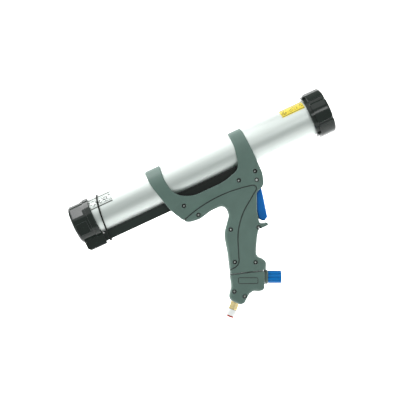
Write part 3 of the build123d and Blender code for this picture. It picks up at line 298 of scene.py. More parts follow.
def drawn_metal(name, colour, roughness, line_scale, depth, marks=0.4, anisotropy=0.5):
    """Metal with fine lines along the barrel and a few rubbed marks."""
    material, tree, shader = begin_finish(name)
    place = object_coordinates(tree)
    along = add_node(tree, "ShaderNodeMapping")
    along.inputs["Scale"].default_value = (0.02, 1.0, 1.0)
    lines = add_node(tree, "ShaderNodeTexNoise", sockets={"Scale": line_scale, "Detail": 4.0})
    tree.links.new(place, along.inputs["Vector"])
    tree.links.new(along.outputs["Vector"], lines.inputs["Vector"])
    scuffs = place_group(tree, MARKS, Scale=40.0, Amount=marks)
    base = blend_colours(tree, lines.outputs["Fac"], tuple(c * 0.93 for c in colour), colour)
    rubbed = blend_colours(tree, scuffs.outputs["Mask"], base, tuple(c * 0.86 for c in colour))
    tree.links.new(rubbed, shader.inputs["Base Color"])
    shader.inputs["Metallic"].default_value = 1.0
    rough = ramp_value(tree, lines.outputs["Fac"], roughness * 0.8, roughness * 1.25)
    tree.links.new(rough, shader.inputs["Roughness"])
    shader.inputs["Anisotropic"].default_value = anisotropy
    bump(tree, shader, lines.outputs["Fac"], depth, 0.5)
    return material


def turned_metal(name, colour, roughness, depth=0.00001):
    """Turned or plated metal with small marks."""
    material, tree, shader = begin_finish(name)
    grain = place_group(tree, GRAIN, Scale=1500.0, Unevenness=1.0)
    scuffs = place_group(tree, MARKS, Scale=120.0, Amount=0.5)
    base = blend_colours(tree, grain.outputs["Patch"], tuple(c * 0.9 for c in colour), colour)
    rubbed = blend_colours(tree, scuffs.outputs["Mask"], base, tuple(c * 0.75 for c in colour))
    tree.links.new(rubbed, shader.inputs["Base Color"])
    shader.inputs["Metallic"].default_value = 1.0
    rough = ramp_value(tree, grain.outputs["Patch"], roughness * 0.8, roughness * 1.2)
    tree.links.new(rough, shader.inputs["Roughness"])
    bump(tree, shader, grain.outputs["Height"], depth)
    return material


def printed_label(name, colour, ink_colour, middle_z, half_height, ink_share, metallic=0.0):
    """A sticker with plain ruled lines at its long edges and broken marks where print would be."""
    material, tree, shader = begin_finish(name)
    place = object_coordinates(tree)
    apart = tree.nodes.new("ShaderNodeSeparateXYZ")
    tree.links.new(place, apart.inputs["Vector"])
    offset = add_node(tree, "ShaderNodeMath", operation="SUBTRACT")
    offset.inputs[1].default_value = middle_z
    tree.links.new(apart.outputs["Z"], offset.inputs[0])
    height = add_node(tree, "ShaderNodeMath", operation="ABSOLUTE")
    tree.links.new(offset.outputs["Value"], height.inputs[0])
    rule = add_node(tree, "ShaderNodeMath", operation="COMPARE")
    rule.inputs[1].default_value = half_height * 0.86
    rule.inputs[2].default_value = half_height * 0.09
    tree.links.new(height.outputs["Value"], rule.inputs[0])
    inside = add_node(tree, "ShaderNodeMath", operation="LESS_THAN")
    inside.inputs[1].default_value = half_height * 0.55
    tree.links.new(height.outputs["Value"], inside.inputs[0])
    squash = add_node(tree, "ShaderNodeMapping")
    squash.inputs["Scale"].default_value = (1.0, 0.6, 2.2)
    marks = add_node(tree, "ShaderNodeTexVoronoi", sockets={"Scale": 330.0})
    tree.links.new(place, squash.inputs["Vector"])
    tree.links.new(squash.outputs["Vector"], marks.inputs["Vector"])
    dark = add_node(tree, "ShaderNodeMath", operation="LESS_THAN")
    dark.inputs[1].default_value = ink_share
    tree.links.new(marks.outputs["Distance"], dark.inputs[0])
    print_area = add_node(tree, "ShaderNodeMath", operation="MULTIPLY")
    tree.links.new(inside.outputs["Value"], print_area.inputs[0])
    tree.links.new(dark.outputs["Value"], print_area.inputs[1])
    ink = add_node(tree, "ShaderNodeMath", operation="MAXIMUM")
    tree.links.new(print_area.outputs["Value"], ink.inputs[0])
    tree.links.new(rule.outputs["Value"], ink.inputs[1])
    grain = place_group(tree, GRAIN, Scale=700.0, Unevenness=1.0)
    paper = blend_colours(tree, grain.outputs["Patch"], tuple(c * 0.93 for c in colour), colour)
    printed = blend_colours(tree, ink.outputs["Value"], paper, ink_colour)
    tree.links.new(printed, shader.inputs["Base Color"])
    shader.inputs["Metallic"].default_value = metallic
    rough = ramp_value(tree, grain.outputs["Patch"], 0.32, 0.42)
    tree.links.new(rough, shader.inputs["Roughness"])
    bump(tree, shader, grain.outputs["Height"], 0.000008)
    return material


def make_finishes():
    """Every finish by its slot's name in the record."""
    # lighter colour for the shells' edges: partly wear, partly a painted highlight
    shell_edge_wear_and_highlight = (0.30, 0.36, 0.33)
    return {
        "bare_aluminium": drawn_metal("bare_aluminium", (0.61, 0.65, 0.63), 0.47, 700.0, 0.00002,
                                      marks=0.35, anisotropy=0.3),
        "yellow_label": printed_label("yellow_label", (0.78, 0.62, 0.05), (0.16, 0.12, 0.03),
                                      middle_z=0.0205, half_height=0.0055, ink_share=0.38),
        "silver_label": printed_label("silver_label", (0.50, 0.54, 0.52), (0.03, 0.035, 0.03),
                                      middle_z=0.0173, half_height=0.0080, ink_share=0.45,
                                      metallic=0.2),
        "gloss_black": moulded_plastic("gloss_black", (0.004, 0.010, 0.007), 0.14, 600.0, 0.00001,
                                       (0.16, 0.19, 0.18), wear_and_highlight=0.6, marks=0.08, gloss=0.4),
        "white_nylon": moulded_plastic("white_nylon", (0.78, 0.78, 0.74), 0.45, 900.0, 0.00001,
                                       (0.8, 0.8, 0.78)),
        "seal_rubber": moulded_plastic("seal_rubber", (0.02, 0.02, 0.02), 0.6, 800.0, 0.00003,
                                       (0.06, 0.06, 0.06)),
        "band_rubber": moulded_plastic("band_rubber", (0.004, 0.007, 0.005), 0.5, 900.0, 0.00003,
                                       (0.04, 0.05, 0.045), marks=0.1, gloss=0.25),
        "rail_black": moulded_plastic("rail_black", (0.010, 0.019, 0.015), 0.34, 1300.0, 0.00001,
                                      (0.10, 0.12, 0.11), wear_and_highlight=0.3, marks=0.1, gloss=0.35),
        "piston_plastic": moulded_plastic("piston_plastic", (0.62, 0.58, 0.46), 0.42, 900.0, 0.00001,
                                          (0.7, 0.67, 0.58)),
        "shell_grey": moulded_plastic("shell_grey", (0.088, 0.148, 0.126), 0.46, 1500.0, 0.00005,
                                      shell_edge_wear_and_highlight, wear_and_highlight=0.35, marks=0.25, sheen=0.35),
        "collar_black": moulded_plastic("collar_black", (0.085, 0.130, 0.110), 0.42, 1500.0, 0.00003,
                                        shell_edge_wear_and_highlight, wear_and_highlight=0.4),
        "trigger_blue": moulded_plastic("trigger_blue", (0.0, 0.140, 0.50), 0.34, 1200.0, 0.00002,
                                        (0.02, 0.24, 0.60), wear_and_highlight=0.3, gloss=0.18),
        "knob_blue": moulded_plastic("knob_blue", (0.0, 0.170, 0.53), 0.30, 1200.0, 0.00002,
                                     (0.02, 0.28, 0.66), wear_and_highlight=0.35, gloss=0.15),
        "tube_plastic": moulded_plastic("tube_plastic", (0.03, 0.03, 0.035), 0.3, 900.0, 0.00001,
                                        (0.1, 0.1, 0.1)),
        "coupling_white": moulded_plastic("coupling_white", (0.92, 0.93, 0.92), 0.30, 1000.0, 0.00001,
                                          (0.95, 0.95, 0.95), marks=0.1),
        "release_red": moulded_plastic("release_red", (0.72, 0.03, 0.01), 0.32, 1000.0, 0.00001,
                                       (0.75, 0.15, 0.08), coat=0.3),
        "screw_steel": turned_metal("screw_steel", (0.62, 0.66, 0.64), 0.34),
        "stem_steel": turned_metal("stem_steel", (0.62, 0.62, 0.61), 0.22),
        "valve_brass": turned_metal("valve_brass", (0.72, 0.54, 0.24), 0.3),
        "fitting_brass": turned_metal("fitting_brass", (0.94, 0.76, 0.40), 0.22),
    }


FINISHES = make_finishes()
for entry in frame["record"]["subparts"]:
    node = frame["nodes"][entry["node"]]
    for index in range(max(1, len(node.material_slots))):
        if node.material_slots:
            node.material_slots[index].material = FINISHES[entry["material_slot"]]
        else:
            node.data.materials.append(FINISHES[entry["material_slot"]])


# ---------------------------------------------------------------- pieces
def shade_by_area(data, sharp_angle):
    """Smooth shading in which large flat faces keep their own direction."""
    faces_at = [[] for _ in data.vertices]
    for face in data.polygons:
        for corner in face.vertices:
            faces_at[corner].append(face.index)
    directions = [face.normal.copy() for face in data.polygons]
    areas = [face.area for face in data.polygons]
    limit = cos(sharp_angle)
    normals = []
    for face in data.polygons:
        own = directions[face.index]
        flat_side = abs(own.y) > 0.9998
        for corner in face.vertices:
            total = own * 1000.0 if flat_side else Vector((0, 0, 0))
            for other in faces_at[corner]:
                if own.dot(directions[other]) > limit:
                    total += directions[other] * areas[other]
            normals.append(total.normalized() if total.length else own)
    data.shade_smooth()
    data.normals_split_custom_set(normals)


def finish_piece(mesh, name, slot_name, body, replaced=(), sharp_angle=32):
    """Turn a bmesh in millimetres into a piece that rides on a body."""
    bmesh.ops.transform(mesh, matrix=Matrix.Scale(MM, 4), verts=mesh.verts)
    data = bpy.data.meshes.new(name)
    mesh.to_mesh(data)
    mesh.free()
    piece = bpy.data.objects.new(name, data)
    bpy.context.scene.collection.objects.link(piece)
    data.materials.append(FINISHES[slot_name])
    shade_by_area(data, radians(sharp_angle))
    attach(piece, body)
    if replaced:
        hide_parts(*replaced)
    return piece


# ---------------------------------------------------------------- handle shells
# Corners of a side view as (x, z, rounding radius, rounding of the edge up to the next corner)
WINDOW_BOTTOM = -34.2
BAND_TOP = BAND_RADIUS + 1.0
HANDLE_CORNERS = [
    (-287.0, BAND_TOP, 0, 1.2), (-286.6, 8.0, 90.0, 1.2), (-274.8, -41.5, 60.0, 3.0),
    (-261.5, -66.5, 14.0, 5.5), (-242.0, -69.8, 40.0, 5.5), (-222.0, -65.2, 30.0, 5.5),
    (-198.2, -65.2, 9.5, 6.0), (-200.2, -83.0, 12.0, 6.5), (-218.8, -105.0, 35.0, 6.5),
    (-226.0, -134.0, 120.0, 6.5), (-235.2, -161.6, 0, 6.5), (-241.0, -179.2, 0, 6.5),
    (-190.2, -196.0, 0, 5.0), (-183.9, -178.4, 0, 5.0), (-177.6, -166.5, 8.0, 5.0),
    (-189.2, -154.0, 10.0, 5.5), (-175.2, -129.0, 60.0, 4.0),
    (-169.0, -120.0, 4.0, 1.6), (-152.8, -120.0, 1.6, 1.4), (-152.8, -115.4, 1.6, 1.4),
    (-163.4, -113.6, 4.5, 1.6), (-161.5, -98.0, 60.0, 2.0), (-148.6, -68.6, 4.0, 2.0),
    (-133.4, -63.6, 12.0, 3.0), (-128.4, -46.0, 30.0, 3.0), (-128.6, -20.0, 200.0, 1.4),
    (-130.5, BAND_TOP, 0, 0.2), (-151.0, BAND_TOP, 0, 1.6), (-151.0, 6.0, 50.0, 1.8),
    (-157.5, -26.0, 16.0, 1.8), (-186.0, WINDOW_BOTTOM, 70.0, 1.8),
    (-236.0, WINDOW_BOTTOM, 40.0, 1.8), (-260.5, -22.0, 26.0, 1.8), (-264.6, 6.0, 60.0, 1.6),
    (-262.0, BAND_TOP, 0, 0.2),
]
HOUSING_CORNERS = [
    (-236.6, -163.0, 1.5, 1.2), (-187.0, -179.3, 1.5, 1.5), (-199.0, -204.8, 5.5, 5.3),
    (-206.0, -204.2, 12.0, 6.0), (-214.5, -199.9, 5.0, 6.0), (-221.5, -201.0, 8.0, 5.0),
    (-233.4, -210.2, 6.0, 3.0), (-240.8, -209.8, 6.0, 5.6), (-250.4, -198.2, 6.0, 5.6),
    (-251.4, -192.8, 6.0, 5.8), (-241.4, -180.0, 16.0, 6.0),
]
TRIGGER_CORNERS = [
    (-147.2, -47.0, 0, 1.5), (-134.6, -47.0, 0, 2.5), (-136.0, -54.0, 1.5, 3.0),
    (-138.8, -66.0, 10.0, 3.0), (-142.2, -82.0, 40.0, 3.0), (-148.6, -109.0, 3.6, 3.0),
    (-156.4, -112.7, 3.6, 2.5), (-161.7, -106.0, 3.6, 1.5), (-158.6, -92.0, 30.0, 1.0),
    (-158.6, -85.5, 0, 1.0), (-163.2, -85.5, 1.0, 1.0), (-163.2, -75.0, 1.0, 1.0),
    (-153.0, -69.0, 6.0, 1.5),
]
SHELL_SCREWS = [
    (-254.4, -41.5), (-240.7, -62.6), (-165.1, -41.5), (-137.6, -39.2),
    (-206.5, -102.6), (-167.6, -117.0), (-221.2, -148.8), (-193.6, -162.0),
]
HOUSING_SCREWS = [(-240.3, -188.2), (-229.4, -201.2)]


def rounded_points(corners, step):
    """Points round an outline whose corners are arcs, each with its edge rounding."""
    points = []
    for index, (x, z, radius, edge) in enumerate(corners):
        here = Vector((x, z))
        edge_before = corners[index - 1][3]
        if not radius:
            points.append((x, z, max(edge, edge_before)))
            continue
        into = (Vector(corners[index - 1][:2]) - here).normalized()
        out = (Vector(corners[(index + 1) % len(corners)][:2]) - here).normalized()
        half = into.angle(out) / 2
        reach = radius * cos(half) / sin(half)
        centre = here + (into + out).normalized() * (radius / sin(half))
        start = here + into * reach - centre
        end = here + out * reach - centre
        first = atan2(start.y, start.x)
        turn = (atan2(end.y, end.x) - first + pi) % (2 * pi) - pi
        pieces = max(2, ceil(abs(turn) * radius / step))
        for k in range(pieces + 1):
            share = k / pieces
            angle = first + turn * share
            points.append((centre.x + radius * cos(angle), centre.y + radius * sin(angle),
                           edge_before + (edge - edge_before) * share))
    return points


def even_points(points, step):
    """The same closed line with points about a step apart, its corners kept."""
    made = []
    for index, (x, z, edge) in enumerate(points):
        nx, nz, next_edge = points[(index + 1) % len(points)]
        length = hypot(nx - x, nz - z)
        if length < step * 0.3:
            if length > 0.0001:
                made.append((x, z, edge))
            continue
        pieces = max(1, round(length / step))
        for k in range(pieces):
            share = k / pieces
            made.append((x + (nx - x) * share, z + (nz - z) * share,
                         edge + (next_edge - edge) * share))
    return made


def half_width(z):
    """Half of the handle's width at a height: round over the barrel, narrower at the grip."""
    if z <= GRIP_TOP:
        return GRIP_HALF_WIDTH
    shift = BAND_RADIUS - GRIP_HALF_WIDTH
    radius = (GRIP_TOP * GRIP_TOP + shift * shift) / (4 * shift)
    if z > GRIP_TOP / 2:
        return BAND_RADIUS - radius + sqrt(radius * radius - z * z)
    return GRIP_HALF_WIDTH + radius - sqrt(radius * radius - (z - GRIP_TOP) ** 2)


def unrolled(z):
    """Height measured along the band's surface above the barrel's axis."""
    if z <= 0:
        return z
    return BAND_RADIUS * asin(min(1.0, z / BAND_RADIUS)) + max(0.0, z - BAND_RADIUS)


def on_handle(x, depth, along):
    """The point at this depth under the handle's side."""
    if along > 0:
        angle = along / BAND_RADIUS
        radius = BAND_RADIUS - depth
        return Vector((x, -radius * cos(angle), radius * sin(angle)))
    return Vector((x, depth - half_width(along), along))


def handle_reach(along):
    """Depth of the form's inner side: inside the barrel, or past the middle plane below it."""
    if along > 0:
        return BAND_RADIUS - BARREL_RADIUS + 2.0
    return half_width(along) + 1.0 - sqrt(max(0.0, (BARREL_RADIUS - 1.0) ** 2 - along * along))


def inward_steps(points):
    """Unit steps into the region at each point of a closed line, longer at sharp corners."""
    count = len(points)
    area = sum(points[i - 1][0] * points[i][1] - points[i][0] * points[i - 1][1]
               for i in range(count))
    side = 1 if area > 0 else -1
    steps = []
    for i in range(count):
        here = Vector(points[i][:2])
        before = (here - Vector(points[i - 1][:2])).normalized()
        after = (Vector(points[(i + 1) % count][:2]) - here).normalized()
        middle = Vector((-before.y - after.y, before.x + after.x)) * side
        steps.append(middle / max(0.5, middle.length_squared / 2))
    return steps


def rounded_form(points, on_side, reach, levels=()):
    """A closed form with a rounded outer edge, from points as (x, along, edge rounding).

    on_side maps (x, depth, along) to the part, and reach gives the inner side's depth.
    The form stands a little outside the solid that it trims.
    """
    mesh = bmesh.new()
    steps = inward_steps(points)
    rings = []
    for level in range(-1, FORM_EDGE_SEGMENTS + 1):
        ring = []
        for (x, along, edge), step in zip(points, steps):
            if level < 0:
                place = (x - step.x * FORM_GROWTH, reach(along), along - step.y * FORM_GROWTH)
            else:
                angle = (pi / 2) * level / FORM_EDGE_SEGMENTS
                inset = edge * (1 - cos(angle)) - FORM_GROWTH
                depth = edge * (1 - sin(angle)) - FORM_GROWTH
                place = (x + step.x * inset, depth, along + step.y * inset)
            ring.append(mesh.verts.new(place))
        rings.append(ring)
    for outer, inner in zip(rings, rings[1:]):
        for i in range(len(outer)):
            j = (i + 1) % len(outer)
            mesh.faces.new((outer[i], outer[j], inner[j], inner[i]))
    mesh.faces.new(rings[-1])
    mesh.faces.new(rings[0][::-1])
    for level in levels:
        whole = mesh.verts[:] + mesh.edges[:] + mesh.faces[:]
        bmesh.ops.bisect_plane(mesh, geom=whole, dist=1e-5, plane_co=(0, 0, level),
                               plane_no=(0, 0, 1))
    for vert in mesh.verts:
        vert.co = on_side(*vert.co)
    bmesh.ops.remove_doubles(mesh, verts=mesh.verts, dist=0.001)
    bmesh.ops.recalc_face_normals(mesh, faces=mesh.faces)
    return mesh


def swept_tube(points, radius, sides=10, closed=False):
    """A closed round tube along points, for cutting a groove."""
    mesh = bmesh.new()
    rings = []
    for index, here in enumerate(points):
        if closed:
            before, after = points[index - 1], points[(index + 1) % len(points)]
        else:
            before, after = points[max(0, index - 1)], points[min(len(points) - 1, index + 1)]
        along = (after - before).normalized()
        across = along.cross(Vector((0, 1, 0))).normalized()
        out = across.cross(along)
        rings.append([mesh.verts.new(here + (across * cos(2 * pi * k / sides)
                                             + out * sin(2 * pi * k / sides)) * radius)
                      for k in range(sides)])
    following = rings[1:] + rings[:1] if closed else rings[1:]
    for first, second in zip(rings, following):
        for k in range(sides):
            m = (k + 1) % sides
            mesh.faces.new((first[k], first[m], second[m], second[k]))
    if not closed:
        mesh.faces.new(rings[0][::-1])
        mesh.faces.new(rings[-1])
    bmesh.ops.recalc_face_normals(mesh, faces=mesh.faces)
    return mesh


def loose_object(mesh, name):
    """A bmesh in millimetres as an object that only takes part in a cut."""
    bmesh.ops.transform(mesh, matrix=Matrix.Scale(MM, 4), verts=mesh.verts)
    data = bpy.data.meshes.new(name)
    mesh.to_mesh(data)
    mesh.free()
    made = bpy.data.objects.new(name, data)
    bpy.context.scene.collection.objects.link(made)
    return made


def copied_node(name):
    """A copy of a frame node's mesh with its doubled corners merged."""
    node = frame["nodes"][name]
    mesh = bmesh.new()
    mesh.from_mesh(node.data)
    bmesh.ops.transform(mesh, matrix=node.matrix_world, verts=mesh.verts)
    bmesh.ops.remove_doubles(mesh, verts=mesh.verts, dist=COPY_MERGE)
    bmesh.ops.recalc_face_normals(mesh, faces=mesh.faces)
    data = bpy.data.meshes.new(name + "_copy")
    mesh.to_mesh(data)
    mesh.free()
    made = bpy.data.objects.new(name + "_copy", data)
    bpy.context.scene.collection.objects.link(made)
    return made


def cut_mesh(start, cuts):
    """The start object's mesh after each (operation, object) cut; the objects are removed."""
    for operation, tool in cuts:
        modifier = start.modifiers.new("cut", "BOOLEAN")
        modifier.operation = operation
        modifier.solver = "EXACT"
        modifier.object = tool
    graph = bpy.context.evaluated_depsgraph_get()
    graph.update()
    mesh = bmesh.new()
    mesh.from_mesh(start.evaluated_get(graph).to_mesh())
    for used in [start] + [tool for _, tool in cuts]:
        bpy.data.objects.remove(used)
    bmesh.ops.remove_doubles(mesh, verts=mesh.verts, dist=CUT_MERGE)
    bmesh.ops.dissolve_degenerate(mesh, edges=mesh.edges, dist=CUT_MERGE)
    bmesh.ops.transform(mesh, matrix=Matrix.Scale(1 / MM, 4), verts=mesh.verts)
    return mesh


def mirrored(mesh):
    """The same mesh on the other side of the middle plane."""
    for vert in mesh.verts:
        vert.co.y = -vert.co.y
    bmesh.ops.reverse_faces(mesh, faces=mesh.faces)
    return mesh


def arc_points(start, middle, end, count):
    """Points on the arc through three points of the side view."""
    a, b, c = (Vector(p) for p in (start, middle, end))
    turn = 2 * (a.x * (b.y - c.y) + b.x * (c.y - a.y) + c.x * (a.y - b.y))
    centre = Vector((
        (a.length_squared * (b.y - c.y) + b.length_squared * (c.y - a.y)
         + c.length_squared * (a.y - b.y)) / turn,
        (a.length_squared * (c.x - b.x) + b.length_squared * (a.x - c.x)
         + c.length_squared * (b.x - a.x)) / turn))
    first = atan2(a.y - centre.y, a.x - centre.x)
    whole = (atan2(c.y - centre.y, c.x - centre.x) - first + pi) % (2 * pi) - pi
    radius = (a - centre).length
    return [Vector((centre.x + radius * cos(first + whole * k / count),
                    centre.y + radius * sin(first + whole * k / count)))
            for k in range(count + 1)]


def panel_line():
    """The palm panel's outline in side view."""
    line = arc_points((-268.0, -62.6), (-200.0, -50.4), (-150.0, -56.4), 60)
    line += arc_points((-150.0, -56.4), (-146.0, -60.6), (-148.6, -65.6), 8)[1:]
    line += [Vector((-154.6, -69.7)), Vector((-160.5, -73.8)), Vector((-166.5, -77.9))]
    line += arc_points((-172.5, -82.0), (-193.0, -103.0), (-206.0, -127.5), 30)
    line += [Vector((-209.7, -136.7))]
    line += arc_points((-213.5, -146.0), (-218.0, -153.4), (-226.0, -156.0), 8)
    line += [Vector((-231.0, -156.4)), Vector((-240.0, -157.0))]
    return line


def groove_tool(form):
    """A tube laid on the form's side along the panel's outline."""
    tree = BVHTree.FromBMesh(form)
    points = []
    for place in panel_line():
        hit = tree.ray_cast(Vector((place.x, BESIDE_THE_HANDLE_Y, place.y)), Vector((0, 1, 0)))[0]
        if hit:
            points.append(Vector((place.x, hit.y + PANEL_GROOVE_DEPTH, place.y)))
        elif points:
            before = points[-1]
            points.append(before + Vector((place.x - before.x, 2.0, place.y - before.z)))
    return swept_tube(points, PANEL_GROOVE_RADIUS)


LEVELS = [BAND_RADIUS * pi / 2 * k / 23 for k in range(24)] + [-2.5 * k for k in range(1, 29)]
handle_line = [(x, unrolled(z), edge)
               for x, z, edge in even_points(rounded_points(HANDLE_CORNERS, 1.5), 2.2)]
housing_line = even_points(rounded_points(HOUSING_CORNERS, 1.0), 2.0)
trigger_line = even_points(rounded_points(TRIGGER_CORNERS, 1.0), 2.0)


def on_housing(x, depth, z):
    """The point at this depth under the regulator housing's side."""
    return Vector((x, depth - HOUSING_HALF_WIDTH, z))


def on_trigger(x, depth, z):
    """The point at this depth under the trigger's side."""
    return Vector((x, depth - TRIGGER_HALF_WIDTH, z))


def make_shell(side):
    """One handle shell with rounded edges and the groove round its palm panel."""
    form = rounded_form(handle_line, on_handle, handle_reach, LEVELS)
    tube = groove_tool(form)
    if side == "left":
        form = mirrored(form)
        tube = mirrored(tube)
    cuts = [("INTERSECT", loose_object(form, side + "_form")),
            ("DIFFERENCE", loose_object(tube, side + "_groove"))]
    mesh = cut_mesh(copied_node(side + "_shell"), cuts)
    return finish_piece(mesh, side + "_shell_moulding", "shell_grey", "gun", [side + "_shell"])


def badge_frame():
    """A groove round a blank rounded panel on the housing's side, along the regulator's axis."""
    along = Vector((cos(REGULATOR_TILT), 0, -sin(REGULATOR_TILT)))
    across = Vector((sin(REGULATOR_TILT), 0, cos(REGULATOR_TILT)))
    corner = BADGE_ROUNDING
    half_length, half_height = BADGE_LENGTH / 2 - corner, BADGE_HEIGHT / 2 - corner
    line = []
    for quarter, (u, v) in enumerate(((half_length, -half_height), (half_length, half_height),
                                      (-half_length, half_height), (-half_length, -half_height))):
        for k in range(5):
            angle = radians(-90 + 90 * quarter + 22.5 * k)
            line.append(Vector((u + corner * cos(angle), v + corner * sin(angle))))
    centre = Vector((BADGE_CENTRE[0], -HOUSING_HALF_WIDTH + BADGE_GROOVE_DEPTH, BADGE_CENTRE[1]))
    return swept_tube([centre + along * p.x + across * p.y for p in line], BADGE_GROOVE_RADIUS,
                      sides=8, closed=True)


def make_housing(side):
    """One half of the regulator housing with rounded edges and a blank framed panel."""
    form = rounded_form(housing_line, on_housing, lambda z: HOUSING_HALF_WIDTH + 1.0)
    frame_tube = badge_frame()
    if side == "left":
        form = mirrored(form)
        frame_tube = mirrored(frame_tube)
    cuts = [("INTERSECT", loose_object(form, side + "_form")),
            ("DIFFERENCE", loose_object(frame_tube, side + "_badge"))]
    mesh = cut_mesh(copied_node(side + "_housing"), cuts)
    return finish_piece(mesh, side + "_housing_moulding", "shell_grey", "gun", [side + "_housing"])


def make_trigger():
    """The trigger with its front edges rounded on both sides."""
    near = rounded_form(trigger_line, on_trigger, lambda z: TRIGGER_HALF_WIDTH + 0.5)
    far = mirrored(near.copy())
    joined = loose_object(near, "near_form")
    other = loose_object(far, "far_form")
    both = cut_mesh(joined, [("UNION", other)])
    mesh = cut_mesh(copied_node("trigger"), [("INTERSECT", loose_object(both, "trigger_form"))])
    return finish_piece(mesh, "trigger_moulding", "trigger_blue", "trigger", ["trigger"])


def rail_lip():
    """A strip on the rail's top edge, shaped to the barrel's underside."""
    reach = BARREL_RADIUS + LIP_CLEARANCE
    section = [Vector((LIP_REAR_X, y, LIP_FOOT_Z)) for y in (LIP_INNER_Y, LIP_OUTER_Y)]
    for step in range(LIP_TOP_STEPS + 1):
        y = LIP_OUTER_Y + (LIP_INNER_Y - LIP_OUTER_Y) * step / LIP_TOP_STEPS
        section.append(Vector((LIP_REAR_X, y, -sqrt(reach * reach - y * y))))
    mesh = bmesh.new()
    end = mesh.faces.new([mesh.verts.new(point) for point in section])
    grown = bmesh.ops.extrude_face_region(mesh, geom=[end], use_keep_orig=True)
    moved = [item for item in grown["geom"] if isinstance(item, bmesh.types.BMVert)]
    bmesh.ops.translate(mesh, vec=(LIP_FRONT_X - LIP_REAR_X, 0, 0), verts=moved)
    bmesh.ops.recalc_face_normals(mesh, faces=mesh.faces)
    return mesh


def make_rail():
    """The air rail with a lip on each side that closes the gap under the barrel."""
    cuts = [("UNION", loose_object(rail_lip(), "left_lip")),
            ("UNION", loose_object(mirrored(rail_lip()), "right_lip"))]
    mesh = cut_mesh(copied_node("air_rail"), cuts)
    return finish_piece(mesh, "air_rail_moulding", "rail_black", "gun", ["air_rail"])


def make_screws(name, places):
    """Screws with a flat-topped cone head round a small round drive hole."""
    mesh = bmesh.new()
    outline = [(0.0, -12.6), (0.45, -12.6), (0.6, -14.0), (1.25, -14.1), (1.5, -13.9),
               (2.8, -12.3), (2.88, -12.0), (1.4, -12.0), (1.4, 7.4), (0.8, 8.0), (0.0, 8.0)]
    for x, z in places:
        line = [mesh.verts.new((x + radius, y, z)) for radius, y in outline]
        edges = [mesh.edges.new(pair) for pair in zip(line, line[1:])]
        bmesh.ops.spin(mesh, geom=line + edges, cent=(x, 0, z), axis=(0, 1, 0), dvec=(0, 0, 0),
                       angle=2 * pi, steps=24, use_merge=True)
    bmesh.ops.remove_doubles(mesh, verts=mesh.verts, dist=0.01)
    bmesh.ops.recalc_face_normals(mesh, faces=mesh.faces)
    return finish_piece(mesh, name + "_heads", "screw_steel", "gun", [name], 40)


for shell_side in ("right", "left"):
    make_shell(shell_side)
    make_housing(shell_side)
make_trigger()
make_rail()
make_screws("shell_screws", SHELL_SCREWS)
make_screws("housing_screws", HOUSING_SCREWS)

# ---------------------------------------------------------------- camera, light and floor
VIEW_WIDTH = 0.612
CAMERA_DISTANCE = 1.25
ROLL = radians(24.9)
VIEW_CENTRE = Vector((-0.2265, 0, -0.0515))
SENSOR = 36.0
FLOOR_DROP = 0.55

camera_data = bpy.data.cameras.new("camera")
camera_data.sensor_width = SENSOR
camera_data.lens = SENSOR * CAMERA_DISTANCE / VIEW_WIDTH
camera = bpy.data.objects.new("camera", camera_data)
bpy.context.scene.collection.objects.link(camera)
right = Vector((cos(ROLL), 0, -sin(ROLL)))
up = Vector((sin(ROLL), 0, cos(ROLL)))
back = Vector((0, -1, 0))
camera.matrix_world = Matrix((
    (right.x, up.x, back.x, VIEW_CENTRE.x),
    (right.y, up.y, back.y, -CAMERA_DISTANCE),
    (right.z, up.z, back.z, VIEW_CENTRE.z),
    (0, 0, 0, 1)))
camera_data.clip_start = 0.05
camera_data.clip_end = 20
bpy.context.scene.camera = camera


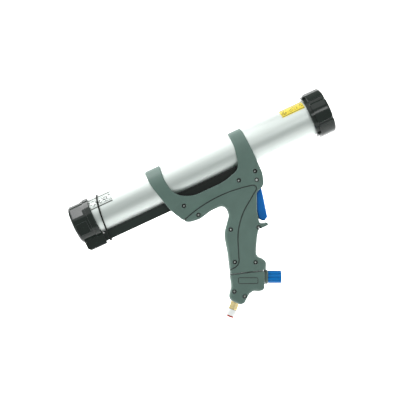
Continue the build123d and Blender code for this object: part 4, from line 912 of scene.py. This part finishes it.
def make_backdrop():
    """A pale floor that curves up into a backdrop behind the gun."""
    low = cad_box[0].z - FLOOR_DROP
    mesh = bmesh.new()
    side = 3.0
    bend = 0.8
    depth = 1.6
    front = -0.25
    near = mesh.verts.new((-side, front, low))
    far = mesh.verts.new((side, front, low))
    edge = mesh.edges.new((near, far))
    steps = [(depth - front - bend, 0)] + [
        (bend * (sin(radians(a + 9)) - sin(radians(a))),
         bend * (cos(radians(a)) - cos(radians(a + 9))))
        for a in range(0, 90, 9)] + [(0, 3.0)]
    last = [edge]
    for forward, rise in steps:
        made = bmesh.ops.extrude_edge_only(mesh, edges=last)
        verts = [g for g in made["geom"] if isinstance(g, bmesh.types.BMVert)]
        bmesh.ops.translate(mesh, verts=verts, vec=(0, forward, rise))
        last = [g for g in made["geom"] if isinstance(g, bmesh.types.BMEdge)
                and all(v in verts for v in g.verts)]
    bmesh.ops.recalc_face_normals(mesh, faces=mesh.faces)
    data = bpy.data.meshes.new("floor")
    mesh.to_mesh(data)
    mesh.free()
    data.shade_smooth()
    material, _, shader = begin_finish("floor_paper")
    shader.inputs["Base Color"].default_value = (0.93, 0.93, 0.93, 1)
    shader.inputs["Roughness"].default_value = 0.9
    data.materials.append(material)
    floor = bpy.data.objects.new("floor", data)
    bpy.context.scene.collection.objects.link(floor)


def area_light(name, place, target, size, power):
    """A rectangular lamp at a place, turned towards a target."""
    data = bpy.data.lights.new(name, "AREA")
    data.shape = "RECTANGLE"
    data.size, data.size_y = size
    data.energy = power
    light = bpy.data.objects.new(name, data)
    light.location = place
    light.rotation_mode = "QUATERNION"
    light.rotation_quaternion = (Vector(target) - Vector(place)).to_track_quat("-Z", "Y")
    bpy.context.scene.collection.objects.link(light)


make_backdrop()
world = bpy.data.worlds.new("studio")
bpy.context.scene.world = world
world.use_nodes = True
world.node_tree.nodes["Background"].inputs["Color"].default_value = (0.95, 1.0, 0.98, 1)
world.node_tree.nodes["Background"].inputs["Strength"].default_value = 0.62
area_light("overhead_key", (-0.45, -0.05, 0.9), (-0.33, 0, 0), (0.6, 0.4), 5.0)
area_light("top_softbox", (-0.3, -0.7, 0.8), VIEW_CENTRE, (1.6, 1.0), 5.2)
area_light("front_fill", (0.5, -1.6, 0.15), VIEW_CENTRE, (0.6, 0.3), 3.0)
area_light("low_strip", (-0.35, -0.38, -0.75), VIEW_CENTRE, (1.3, 0.3), 1.1)
area_light("left_kicker", (-1.3, 0.3, -0.1), (-0.22, 0, -0.1), (0.4, 1.0), 7)
area_light("right_kicker", (0.9, 0.3, -0.2), (-0.18, 0, -0.12), (0.4, 1.0), 7)
area_light("backdrop_wash", (-0.2, 0.7, 0.9), (-0.2, 1.6, -0.1), (2.4, 0.5), 34)
area_light("low_backdrop_wash", (-0.2, 0.7, -0.65), (-0.2, 1.6, -0.1), (2.4, 0.4), 26)
bpy.context.scene.view_settings.view_transform = "Standard"
